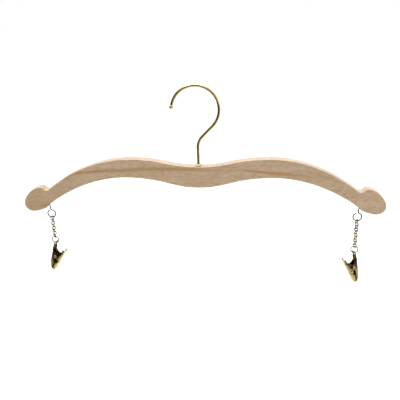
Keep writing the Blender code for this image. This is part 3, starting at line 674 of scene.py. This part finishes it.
def bar_piece(wood):
    mirrored = [(-x, z) for x, z in bar_side[-2:0:-1]]
    outline = smooth_through(bar_side + mirrored, BAR_OUTLINE_STEPS, closed=True)
    count = len(outline)
    inward = []
    for behind, ahead in zip(outline[-1:] + outline, outline[1:] + outline[:1]):
        along = (Vector(ahead) - Vector(behind)).normalized()
        inward.append((along.y, -along.x))

    half = BAR_THICKNESS / 2
    quarter = [math.pi / 2 * i / BAR_EDGE_STEPS for i in range(BAR_EDGE_STEPS + 1)]
    rim = [(BAR_EDGE_ROUND * (1 - math.cos(a)),
            half - BAR_EDGE_ROUND * (1 - math.sin(a))) for a in quarter]
    rim.append((BAR_EDGE_ROUND + BAR_FACE_RIM, half))
    rows = [(inset, -depth) for inset, depth in reversed(rim)] + rim

    shell = bmesh.new()
    rings = []
    for inset, depth in rows:
        rings.append([shell.verts.new((x + nx * inset, depth, z + nz * inset))
                      for (x, z), (nx, nz) in zip(outline, inward)])
    for near, far in zip(rings, rings[1:]):
        for i in range(count):
            j = (i + 1) % count
            shell.faces.new((near[i], near[j], far[j], far[i]))
    shell.faces.new(rings[0])
    shell.faces.new(list(reversed(rings[-1])))
    bmesh.ops.recalc_face_normals(shell, faces=shell.faces)
    bar = new_object("bar blank", mesh_from("bar blank", shell))

    sleeve = BUSH_SLEEVE_DIAMETER / 2 + SEAT_GAP
    sleeve_floor = wood_top - BUSH_SLEEVE_LENGTH - SEAT_GAP
    counterbore_top = wood_bottom + COUNTERBORE_DEPTH
    bore = new_object("bar bore", turned_mesh([
        (0.0, wood_top + CUT_OVERRUN), (sleeve, wood_top + CUT_OVERRUN),
        (sleeve, sleeve_floor), (bore_radius, sleeve_floor),
        (bore_radius, counterbore_top), (COUNTERBORE_DIAMETER / 2, counterbore_top),
        (COUNTERBORE_DIAMETER / 2, wood_bottom - CUT_OVERRUN),
        (0.0, wood_bottom - CUT_OVERRUN)]))
    piece("beech_bar", cut_mesh(bar, [bore]), wood, "bar")


def cut_mesh(blank, cutters, edge=0.0, edge_steps=0, clamped=True):
    """The plain mesh of a blank with its holes cut and its sharp edges eased."""
    for cutter in cutters:
        step = blank.modifiers.new("cut", "BOOLEAN")
        step.operation = "DIFFERENCE"
        step.solver = "EXACT"
        step.object = cutter
    if edge:
        eased = blank.modifiers.new("eased edges", "BEVEL")
        eased.width = edge
        eased.segments = edge_steps
        eased.limit_method = "ANGLE"
        eased.angle_limit = EASED_EDGE_ANGLE
        eased.use_clamp_overlap = clamped
    mesh = evaluated_mesh(blank)
    for cutter in cutters:
        bpy.data.objects.remove(cutter, do_unlink=True)
    return mesh


def turned_mesh(profile, matrix=None, closed=False, steps=ROUND_STEPS):
    """A shape turned round Z from (radius, height) points."""
    shell = bmesh.new()
    rings = []
    turns = [math.tau * i / steps for i in range(steps)]
    for radius, height in profile:
        if radius:
            rings.append([shell.verts.new((radius * math.cos(turn),
                                           radius * math.sin(turn), height))
                          for turn in turns])
        else:
            rings.append([shell.verts.new((0.0, 0.0, height))] * steps)
    if closed:
        rings.append(rings[0])
    for upper, lower in zip(rings, rings[1:]):
        for i in range(steps):
            j = (i + 1) % steps
            corners = []
            for corner in (upper[i], lower[i], lower[j], upper[j]):
                if corner not in corners:
                    corners.append(corner)
            shell.faces.new(corners)
    if matrix:
        bmesh.ops.transform(shell, matrix=matrix, verts=shell.verts)
    bmesh.ops.recalc_face_normals(shell, faces=shell.faces)
    return mesh_from("turned", shell)


# Node trees for what follows a path


def new_tree(name, inputs):
    """An empty node tree with named inputs and one geometry output."""
    tree = bpy.data.node_groups.new(name, "GeometryNodeTree")
    for label, kind in inputs.items():
        tree.interface.new_socket(label, in_out="INPUT", socket_type=f"NodeSocket{kind}")
    tree.interface.new_socket("Geometry", in_out="OUTPUT",
                              socket_type="NodeSocketGeometry")
    nodes = Nodes(tree)
    return tree, nodes, nodes.add("NodeGroupInput").outputs


def round_wire(nodes, given, curve):
    """The end of each tree: a round wire along a curve, smooth, in its material."""
    radius = nodes.times(given["Wire"], 0.5)
    circle = nodes.add("GeometryNodeCurvePrimitiveCircle", Radius=radius,
                       Resolution=given["Sides"])
    swept = nodes.add("GeometryNodeCurveToMesh", Curve=curve,
                      Profile_Curve=circle.outputs[0], Fill_Caps=True)
    real = nodes.add("GeometryNodeRealizeInstances", Geometry=swept.outputs[0])
    dressed = nodes.add("GeometryNodeSetMaterial", Geometry=real.outputs[0],
                        Material=given["Material"])
    nodes.add("NodeGroupOutput", Geometry=dressed.outputs[0])


def placed_wire(nodes, given, curve):
    """A curve turned, set in its place and made a wire."""
    placed = nodes.add("GeometryNodeTransform", Geometry=curve,
                       Rotation=given["Turn"], Translation=given["Middle"])
    round_wire(nodes, given, placed.outputs[0])


WIRE_INPUTS = {"Wire": "Float", "Sides": "Int", "Material": "Material"}
PLACED_INPUTS = {**WIRE_INPUTS, "Turn": "Vector", "Middle": "Vector"}


def path_tree():
    """Wire along the points of a path."""
    tree, nodes, given = new_tree("wire on a path",
                                  {"Geometry": "Geometry", **WIRE_INPUTS})
    path = nodes.add("GeometryNodeMeshToCurve", Mesh=given["Geometry"])
    round_wire(nodes, given, path.outputs[0])
    return tree


def link_tree():
    """One chain link: a rectangle with round ends, turned and set in its place."""
    tree, nodes, given = new_tree("chain link", {
        **PLACED_INPUTS, "Length": "Float", "Width": "Float", "Round Share": "Float",
        "Round Steps": "Int"})
    wire = given["Wire"]
    width = nodes.math("SUBTRACT", given["Width"], wire)
    length = nodes.math("SUBTRACT", given["Length"], wire)
    outline = nodes.add("GeometryNodeCurvePrimitiveQuadrilateral", Width=width,
                            Height=length)
    half = nodes.times(width, 0.5)
    radius = nodes.times(half, given["Round Share"])
    rounded = nodes.add("GeometryNodeFilletCurve", {"mode": "POLY"},
                        Curve=outline.outputs[0], Radius=radius,
                        Count=given["Round Steps"])
    placed_wire(nodes, given, rounded.outputs[0])
    return tree


def ring_tree():
    """An open ring, bent round until its ends nearly meet."""
    tree, nodes, given = new_tree("open ring", {
        **PLACED_INPUTS, "Diameter": "Float", "Steps": "Int", "Start": "Float",
        "Sweep": "Float"})
    across = nodes.math("SUBTRACT", given["Diameter"], given["Wire"])
    radius = nodes.times(across, 0.5)
    bow = nodes.add("GeometryNodeCurveArc", {"mode": "RADIUS"}, Radius=radius,
                    Resolution=given["Steps"], Start_Angle=given["Start"],
                    Sweep_Angle=given["Sweep"])
    placed_wire(nodes, given, bow.outputs[0])
    return tree


def run_tree(tree, values, points=()):
    """The plain mesh that a tree makes from its inputs."""
    path = bpy.data.meshes.new("path")
    path.from_pydata(points, [(i, i + 1) for i in range(len(points) - 1)], [])
    host = new_object("path", path)
    step = host.modifiers.new("nodes", "NODES")
    step.node_group = tree
    sockets = {item.name: item.identifier for item in tree.interface.items_tree
               if item.in_out == "INPUT"}
    for label, value in values.items():
        step[sockets[label]] = value
    return evaluated_mesh(host)


def path_piece(name, tree, points, wire, sides, metal, node):
    mesh = run_tree(tree, {"Wire": wire, "Sides": sides, "Material": metal}, points)
    return piece(name, mesh, metal, node)


# The hook and what holds it


def hook_line():
    """The hook's middle line, from its lower end up to its tip."""
    crown = Vector((-CROWN_OFFSET, HOOK_WIRE / 2 - CROWN_RADIUS))
    rise = crown.y - wood_top - LOWER_BEND_HEIGHT
    meeting = ((rise ** 2 + CROWN_OFFSET ** 2 - CROWN_RADIUS ** 2)
               / (2 * (CROWN_RADIUS - CROWN_OFFSET)))
    radius = LOWER_BEND_SHARE * meeting
    bend = Vector((radius, wood_top + LOWER_BEND_HEIGHT))
    between = crown - bend
    straight = (math.atan2(between.y, between.x) - math.pi / 2
                + math.acos((CROWN_RADIUS + radius) / between.length))
    lower = arc(bend, radius, math.pi, straight + math.pi / 2, HOOK_ARC_STEP)
    upper = arc(crown, CROWN_RADIUS, straight - math.pi / 2, HOOK_END_ANGLE,
                HOOK_ARC_STEP)
    return [(0.0, nut_bottom - HOOK_WIRE_END)] + lower + upper


def hook_pieces(metal, tree):
    line = hook_line()
    tip = Vector(line[-1])
    along = (tip - Vector(line[-2])).normalized()
    radius = BALL_DIAMETER / 2
    flat = math.sqrt(radius ** 2 - (HOOK_WIRE / 2) ** 2)
    middle = tip + along * (flat + SEAT_GAP)
    # the wire runs on into the ball
    line.append(tuple(middle))
    path_piece("bent_hook", tree, [(x, 0.0, z) for x, z in line], HOOK_WIRE, HOOK_SIDES,
               metal, "hook_wire")

    ball = bmesh.new()
    bmesh.ops.create_icosphere(ball, subdivisions=BALL_DIVISIONS, radius=radius,
                               matrix=Matrix.Translation((middle.x, 0.0, middle.y)))
    piece("hook_ball", mesh_from("ball", ball), metal, "hook_ball_tip")


def rounded_profile(points, corners, radius):
    """A profile with some of its corners made round."""
    for corner in sorted(corners, reverse=True):
        before, here, after = (Vector(points[corner + k]) for k in (-1, 0, 1))
        start = here + (before - here).normalized() * radius
        end = here + (after - here).normalized() * radius
        made = []
        for i in range(TURNED_EDGE_STEPS + 1):
            t = i / TURNED_EDGE_STEPS
            made.append(tuple((1 - t) ** 2 * start + 2 * t * (1 - t) * here + t * t * end))
        points = points[:corner] + made + points[corner + 1:]
    return points


def bush_piece(metal):
    flange = wood_top + SEAT_GAP
    head = flange + BUSH_HEAD_HEIGHT
    end = wood_top - BUSH_SLEEVE_LENGTH
    profile = [
        (bore_radius, head), (BUSH_NECK_DIAMETER / 2, head),
        (BUSH_NECK_DIAMETER / 2, head - BUSH_RIM),
        (BUSH_FLANGE_DIAMETER / 2, flange + BUSH_RIM), (BUSH_FLANGE_DIAMETER / 2, flange),
        (BUSH_SLEEVE_DIAMETER / 2, flange), (BUSH_SLEEVE_DIAMETER / 2, end),
        (bore_radius, end)]
    profile = rounded_profile(profile, (1, 2, 3, 4), TURNED_EDGE)
    piece("hook_collar", turned_mesh(profile, closed=True), metal, "hook_bush")


def washer_and_nut_pieces(metal):
    low = washer_top - WASHER_THICKNESS
    profile = [(bore_radius, washer_top), (WASHER_DIAMETER / 2, washer_top),
               (WASHER_DIAMETER / 2, low), (bore_radius, low)]
    profile = rounded_profile(profile, (1, 2), TURNED_EDGE)
    piece("hook_washer_disc", turned_mesh(profile, closed=True), metal, "hook_washer")

    body = bmesh.new()
    corner = NUT_ACROSS_FLATS / 2 / math.cos(math.pi / NUT_FLATS)
    middle = Matrix.Translation((0.0, 0.0, (nut_top + nut_bottom) / 2))
    bmesh.ops.create_cone(body, cap_ends=True, segments=NUT_FLATS, radius1=corner,
                          radius2=corner, depth=NUT_HEIGHT, matrix=middle)
    nut = new_object("nut blank", mesh_from("nut", body))
    bore = new_object("nut bore", turned_mesh([
        (0.0, nut_top + CUT_OVERRUN), (bore_radius, nut_top + CUT_OVERRUN),
        (bore_radius, nut_bottom - CUT_OVERRUN), (0.0, nut_bottom - CUT_OVERRUN)]))
    mesh = cut_mesh(nut, [bore], TURNED_EDGE, TURNED_EDGE_STEPS)
    piece("hook_hex_nut", mesh, metal, "hook_nut")


# Screw eyes


def eye_piece(side, metal, tree):
    """One wire: a shank up into the wood, a small neck bend and the ring."""
    sign = -1.0 if side == "left" else 1.0
    ring_radius = (EYE_RING_DIAMETER - EYE_WIRE) / 2
    neck_height = math.sqrt(ring_radius ** 2 + 2 * ring_radius * EYE_NECK_RADIUS)
    meet = math.atan2(neck_height, EYE_NECK_RADIUS)
    shank = [(0.0, EYE_DROP + EYE_THREAD_DEPTH)]
    neck = arc((EYE_NECK_RADIUS, neck_height), EYE_NECK_RADIUS, math.pi, math.pi + meet,
               EYE_ARC_STEP)
    ring = arc((0.0, 0.0), ring_radius, meet, EYE_RING_END - math.tau, EYE_ARC_STEP)
    place = (Matrix.Translation((sign * eye_x, 0.0, eye_z))
             @ Matrix.Rotation(sign * EYE_LEAN, 4, "Y"))
    points = [place @ Vector((x, 0.0, z)) for x, z in shank + neck[:-1] + ring]
    path_piece(f"wire_eye_{side}", tree, points, EYE_WIRE, SMALL_WIRE_SIDES, metal,
               f"screw_eye_{side}")


# Chains and jump rings


def chain_pieces(side, metal, tree):
    for number in range(1, LINK_COUNTS[side] + 1):
        node = f"chain_{side}_link_{number:02d}"
        low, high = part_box(node)
        turn = LINK_TURN if number % 2 else -LINK_TURN
        mesh = run_tree(tree, {
            "Wire": LINK_WIRE, "Sides": LINK_SIDES, "Material": metal,
            "Length": LINK_LENGTH, "Width": LINK_WIDTH, "Round Share": LINK_ROUND_SHARE,
            "Round Steps": LINK_ROUND_STEPS, "Turn": (QUARTER_TURN, 0.0, turn),
            "Middle": tuple((Vector(low) + Vector(high)) / 2)})
        piece(f"oval_link_{side}_{number:02d}", mesh, metal, node)


def ring_piece(side, metal, tree):
    hang = Vector(JOINTS[f"{side}_ring_swing"]["pos_m"])
    rise = (LINK_WIRE + RING_WIRE) / 2 + SEAT_GAP
    middle = hang + Vector((0.0, 0.0, rise - (RING_DIAMETER - RING_WIRE) / 2))
    mesh = run_tree(tree, {
        "Wire": RING_WIRE, "Sides": SMALL_WIRE_SIDES, "Material": metal,
        "Diameter": RING_DIAMETER, "Steps": RING_STEPS,
        "Start": RING_SLIT_PLACE + RING_SLIT / 2, "Sweep": math.tau - RING_SLIT,
        "Turn": (QUARTER_TURN, 0.0, 0.0), "Middle": tuple(middle)})
    piece(f"split_ring_{side}", mesh, metal, f"jump_ring_{side}")


# Clips


def scaled(shares, spread, up_reach):
    """Turn shares into a line: heights above the pin follow one reach, below another."""
    return [(x * spread, z * (up_reach if z > 0 else CLIP_NOSE_REACH))
            for x, z in shares]


back_sheet = smooth_through(
    scaled(BACK_SHEET_SHARES, CLIP_BACK_SPREAD, CLIP_TAB_REACH), CLIP_SHEET_STEPS)
front_sheet = smooth_through(
    scaled(FRONT_SHEET_SHARES, CLIP_FRONT_SPREAD, CLIP_HANDLE_REACH), CLIP_SHEET_STEPS)
tab_hole_z = CLIP_TAB_REACH - TAB_HOLE_EDGE
tab_hole_x = place_on(back_sheet, tab_hole_z)


def clip_place(side):
    """Where a clip's pin lies and how the clip is turned."""
    joint = JOINTS[f"{side}_lever_open"]
    across = -Vector(joint["axis"])
    turn = math.atan2(-across.x, across.y)
    return (Matrix.Translation(joint["pos_m"])
            @ Euler((0.0, CLIP_HANGS[side], turn)).to_matrix().to_4x4())


def flange_edge(sign, inner, ear_top, spread, reach):
    """The inner edge of a side flange and of its ear round the pin, nose first."""
    half = EAR_ARC_SHARE * math.pi
    middle = 0.0 if sign < 0 else math.pi
    ear = arc((0.0, 0.0), CLIP_EAR_RADIUS, middle + sign * half, middle - sign * half,
              2 * half / EAR_ARC_STEPS)
    return scaled(inner, spread, reach) + ear + scaled(ear_top, spread, reach)


def jaw_rows(sign, sheet, inner, ear_top, narrow_shares, narrowing, spread, reach):
    """Rows across a jaw from its upper end to its lip: middle, half width, flange edge."""
    edge = flange_edge(sign, inner, ear_top, spread, reach)
    narrow = scaled([(part, z) for z, part in narrow_shares], narrowing, reach)
    end_x, end_z = sheet[-1]
    levels = [sheet[0][1]]
    for z in sorted((point[1] for point in sheet + edge), reverse=True):
        if levels[-1] - z > CLIP_ROW_STEP and z >= edge[0][1]:
            levels.append(z)
    rows = []
    for z in levels:
        width = CLIP_WIDTH - place_on(narrow, z)
        if z <= edge[-1][1]:
            rows.append(((place_on(sheet, z), z), (width - CLIP_SHEET) / 2,
                         place_on(edge, z)))
        else:
            rows.append(((place_on(sheet, z), z), width / 2, None))
    lip = arc((end_x - sign * LIP_BEND, end_z + LIP_BEND), LIP_BEND,
              -math.pi / 2 + sign * math.pi / 2, -math.pi / 2, math.pi / 2 / LIP_STEPS)
    lip.append((sign * SEAT_GAP / 2, end_z))
    return rows + [(point, CLIP_WIDTH / 2, None) for point in lip[1:]]


def sheet_half(row):
    """One side of a row, from the flange's edge round its bend to the flat."""
    (x, z), half, edge = row
    if edge is None:
        return [None] * (CLIP_BEND_STEPS + 1) + [(x, half)]
    outwards = math.copysign(CLIP_BEND, edge - x)
    made = [(edge, half)]
    for i in range(CLIP_BEND_STEPS + 1):
        angle = math.pi / 2 * i / CLIP_BEND_STEPS
        made.append((x + outwards * (1 - math.sin(angle)),
                     half - CLIP_BEND * (1 - math.cos(angle))))
    return made


def bent_sheet(name, rows, holes, place):
    """A sheet bent along its length, thickened, pierced, with eased edges.

    A hole is its radius, its reach to either side and its place.
    """
    shell = bmesh.new()
    lines = []
    for row in rows:
        z = row[0][1]
        half = sheet_half(row)
        near = [p and shell.verts.new((p[0], -p[1], z)) for p in half]
        far = [p and shell.verts.new((p[0], p[1], z)) for p in reversed(half)]
        lines.append(near + far)
    for upper, lower in zip(lines, lines[1:]):
        for i in range(len(upper) - 1):
            corners = (upper[i], upper[i + 1], lower[i + 1], lower[i])
            if all(corners):
                shell.faces.new(corners)
    bmesh.ops.recalc_face_normals(shell, faces=shell.faces)
    sheet = new_object(name, mesh_from(name, shell))
    solid = sheet.modifiers.new("thickness", "SOLIDIFY")
    solid.thickness = CLIP_SHEET
    solid.offset = 0.0
    solid.use_even_offset = True
    cutters = [new_object("hole", turned_mesh(
        [(0.0, reach), (radius, reach), (radius, -reach), (0.0, -reach)], matrix))
        for radius, reach, matrix in holes]
    mesh = cut_mesh(sheet, cutters, CLIP_EDGE_ROUND, CLIP_EDGE_STEPS, clamped=False)
    mesh.transform(place)
    return mesh


ALONG_PIN = Matrix.Rotation(QUARTER_TURN, 4, "X")


def jaw_pieces(side, back_metal, lever_metal):
    place = clip_place(side)
    pin_hole = (PIN_DIAMETER / 2 + SEAT_GAP, CLIP_WIDTH / 2 + CUT_OVERRUN, ALONG_PIN)
    through_tab = (Matrix.Translation((tab_hole_x, 0.0, tab_hole_z))
                   @ Matrix.Rotation(QUARTER_TURN, 4, "Y"))
    tab_hole = (TAB_HOLE_DIAMETER / 2, CUT_OVERRUN, through_tab)

    rows = jaw_rows(-1, back_sheet, BACK_FLANGE_SHARES, BACK_EAR_TOP_SHARES,
                    BACK_NARROW_SHARES, CLIP_WIDTH - TAB_WIDTH, CLIP_BACK_SPREAD,
                    CLIP_TAB_REACH)
    mesh = bent_sheet("back jaw", rows, (pin_hole, tab_hole), place)
    piece(f"clip_{side}_back", mesh, back_metal, f"clip_{side}_back_jaw")

    rows = jaw_rows(1, front_sheet, FRONT_FLANGE_SHARES, FRONT_EAR_TOP_SHARES,
                    FRONT_NARROW_SHARES, 2 * (CLIP_SHEET + SEAT_GAP), CLIP_FRONT_SPREAD,
                    CLIP_HANDLE_REACH)
    mesh = bent_sheet("lever", rows, (pin_hole,), place)
    piece(f"clip_{side}_thumb_lever", mesh, lever_metal, f"clip_{side}_lever")


def pin_piece(side, metal):
    """A tubular rivet: both ends rolled over into round heads."""
    seat = CLIP_WIDTH / 2 + SEAT_GAP
    bore = PIN_BORE_DIAMETER / 2
    head = PIN_HEAD_DIAMETER / 2
    middle = (bore + head) / 2
    roll = []
    for i in range(PIN_ROLL_STEPS + 1):
        angle = math.pi * (1 - i / PIN_ROLL_STEPS)
        roll.append((middle + (head - middle) * math.cos(angle),
                     seat + PIN_HEAD_HEIGHT * math.sin(angle)))
    profile = (roll + [(PIN_DIAMETER / 2, seat), (PIN_DIAMETER / 2, -seat)]
               + [(radius, -height) for radius, height in reversed(roll)])
    mesh = turned_mesh(profile, clip_place(side) @ ALONG_PIN, closed=True, steps=PIN_STEPS)
    piece(f"clip_{side}_rivet", mesh, metal, f"clip_{side}_pin")


def spring_points():
    """A leg on the lever, the curls round the pin, then a leg on the back jaw."""
    radius = PIN_DIAMETER / 2 + SEAT_GAP + SPRING_WIRE / 2
    clear = CLIP_SHEET / 2 + SEAT_GAP + SPRING_WIRE / 2

    def leg_end(sheet, length):
        inner = [Vector(p) for p in sheet if p[1] > 0]
        return min(inner, key=lambda p: abs(p.length - length))

    back = leg_end(offset_line(back_sheet, clear), SPRING_BACK_LEG)
    front = leg_end(offset_line(front_sheet, -clear), SPRING_FRONT_LEG)
    start = math.atan2(front.y, front.x) - math.acos(radius / front.length)
    end = math.atan2(back.y, back.x) + math.acos(radius / back.length)
    travel = (start - end) % math.tau + math.tau * SPRING_TURNS
    count = math.ceil(travel / (math.tau / SPRING_CURL_POINTS))
    length = SPRING_PITCH * travel / math.tau
    curls = []
    for i in range(count + 1):
        angle = start - travel * i / count
        curls.append((radius * math.cos(angle), length * (i / count - 0.5),
                      radius * math.sin(angle)))
    return [(front.x, -length / 2, front.y)] + curls + [(back.x, length / 2, back.y)]


def spring_piece(side, steel, tree):
    place = clip_place(side)
    points = [place @ Vector(point) for point in spring_points()]
    path_piece(f"clip_{side}_coil", tree, points, SPRING_WIRE, SPRING_SIDES, steel,
               f"clip_{side}_spring")


# Studio


def make_camera():
    yaw, pitch, roll = CAMERA_YAW, CAMERA_PITCH, CAMERA_ROLL
    forward = Vector((-math.sin(yaw) * math.cos(pitch), math.cos(yaw) * math.cos(pitch),
                      -math.sin(pitch)))
    level = Vector((math.cos(yaw), math.sin(yaw), 0.0))
    upright = level.cross(forward)
    right = math.cos(roll) * level + math.sin(roll) * upright
    up = -math.sin(roll) * level + math.cos(roll) * upright
    data = bpy.data.cameras.new("camera")
    data.sensor_width = SENSOR
    data.lens = SENSOR * FOCAL_PIXELS / FRAME_PIXELS
    data.clip_start, data.clip_end = CAMERA_SEES
    camera = new_object("camera", data)
    turn = Matrix((right, up, -forward)).transposed().to_4x4()
    camera.matrix_world = Matrix.Translation(CAMERA_PLACE) @ turn
    bpy.context.scene.camera = camera


FLOOR_HEIGHT = -0.62
FLOOR_SIZE = 40.0
FLOOR_GREY = (0.80, 0.80, 0.80, 1.0)
FLOOR_GLOW = 0.25              # what the camera sees on top of the floor's own colour
WHITE = (1.0, 1.0, 1.0, 1.0)


def rays(nodes, *kinds):
    """1 for rays of these kinds and 0 for others."""
    path = nodes.add("ShaderNodeLightPath")
    found = 0.0
    for kind in kinds:
        found = nodes.math("MAXIMUM", found, path.outputs[f"Is {kind} Ray"])
    return found


def make_floor():
    """A plain pale floor, white to the camera where no shadow falls."""
    shell = bmesh.new()
    bmesh.ops.create_grid(shell, x_segments=1, y_segments=1, size=FLOOR_SIZE / 2,
                          matrix=Matrix.Translation((0.0, 0.0, FLOOR_HEIGHT)))
    floor = new_object("floor", mesh_from("floor", shell))
    material = bpy.data.materials.new("pale floor")
    nodes, output = cleared_nodes(material, "ShaderNodeOutputMaterial")
    seen = rays(nodes, "Camera", "Transmission", "Glossy")
    matt = nodes.add("ShaderNodeBsdfDiffuse", Color=FLOOR_GREY)
    glow = nodes.add("ShaderNodeEmission", Color=WHITE,
                     Strength=nodes.times(seen, FLOOR_GLOW))
    both = nodes.add("ShaderNodeAddShader")
    nodes.put(both.inputs[0], matt.outputs[0])
    nodes.put(both.inputs[1], glow.outputs[0])
    nodes.put(output.inputs[0], both.outputs[0])
    floor.data.materials.append(material)
    floor.visible_glossy = False


# How bright the sky's light is, and how bright gloss finds the studio, each as a fade
# along one direction: from, to, brightness at each.  Gloss sees white beyond the object, a
# dark room on the camera's side, a bright top, a bright right side, and a pale table in
# front, low down
SKY = (-0.3, 0.9, 0.85, 1.05)
GLOSS_BEYOND = (-0.15, 0.60, 0.02, 1.0)
GLOSS_TOP = (0.45, 0.80, 0.0, 1.2)
GLOSS_TABLE = (-0.47, -0.34, 0.55, 0.0)
GLOSS_RIGHT = (0.50, 0.90, 0.0, 0.80)


def switched(nodes, share, first, second):
    """One shader or another."""
    made = nodes.add("ShaderNodeMixShader")
    for socket, value in zip(made.inputs, (share, first, second)):
        nodes.put(socket, value)
    return made.outputs[0]


def make_world():
    """White behind the object, a soft even sky for its light, and a studio for gloss."""
    world = bpy.data.worlds.new("studio")
    bpy.context.scene.world = world
    nodes, output = cleared_nodes(world, "ShaderNodeOutputWorld")
    direction = nodes.add("ShaderNodeTexCoord").outputs["Generated"]
    x, y, z = nodes.add("ShaderNodeSeparateXYZ", Vector=direction).outputs

    room = nodes.fade(y, *GLOSS_BEYOND)
    for along, values in ((z, GLOSS_TOP), (z, GLOSS_TABLE), (x, GLOSS_RIGHT)):
        room = nodes.math("MAXIMUM", room, nodes.fade(along, *values))
    soft, gloss, white = (
        nodes.add("ShaderNodeBackground", Color=WHITE, Strength=strength).outputs[0]
        for strength in (nodes.fade(z, *SKY), room, 1.0))
    lit = switched(nodes, rays(nodes, "Glossy"), soft, gloss)
    seen = rays(nodes, "Camera", "Transmission")
    nodes.put(output.inputs[0], switched(nodes, seen, lit, white))


# Soft lamps, which face one place: where each is, width and height, power
LAMP_AIM = (0.0, 0.0, -0.1)
LAMPS = {"top softbox": ((-0.15, 0.25, 1.3), (1.6, 1.0), 24.0),
         "right strip": ((1.1, -0.9, 0.5), (0.25, 1.2), 2.0)}


def make_lamps():
    for name, (place, size, power) in LAMPS.items():
        data = bpy.data.lights.new(name, "AREA")
        data.shape = "RECTANGLE"
        data.size, data.size_y = size
        data.energy = power
        lamp = new_object(name, data)
        lamp.location = place
        lamp.rotation_mode = "QUATERNION"
        aim = Vector(LAMP_AIM) - Vector(place)
        lamp.rotation_quaternion = aim.to_track_quat("-Z", "Y")


def main():
    wood = beech()
    gold = plated("bright gold plate")
    aged = plated("aged gold plate")
    bronze = plated("dark bronze plate")
    steel = plated("plated spring wire")
    wires = path_tree()
    links = link_tree()
    rings = ring_tree()
    make_camera()
    bar_piece(wood)
    hook_pieces(gold, wires)
    bush_piece(gold)
    washer_and_nut_pieces(gold)
    for side in ("left", "right"):
        back = plated("back jaw plate", side, tab_painted_shade)
        lever = plated("lever plate", side, lever_painted_shade)
        eye_piece(side, bronze, wires)
        chain_pieces(side, aged, links)
        ring_piece(side, bronze, rings)
        jaw_pieces(side, back, lever)
        pin_piece(side, gold)
        spring_piece(side, steel, wires)
    make_floor()
    make_world()
    make_lamps()
    bpy.context.scene.view_settings.view_transform = "Standard"


main()
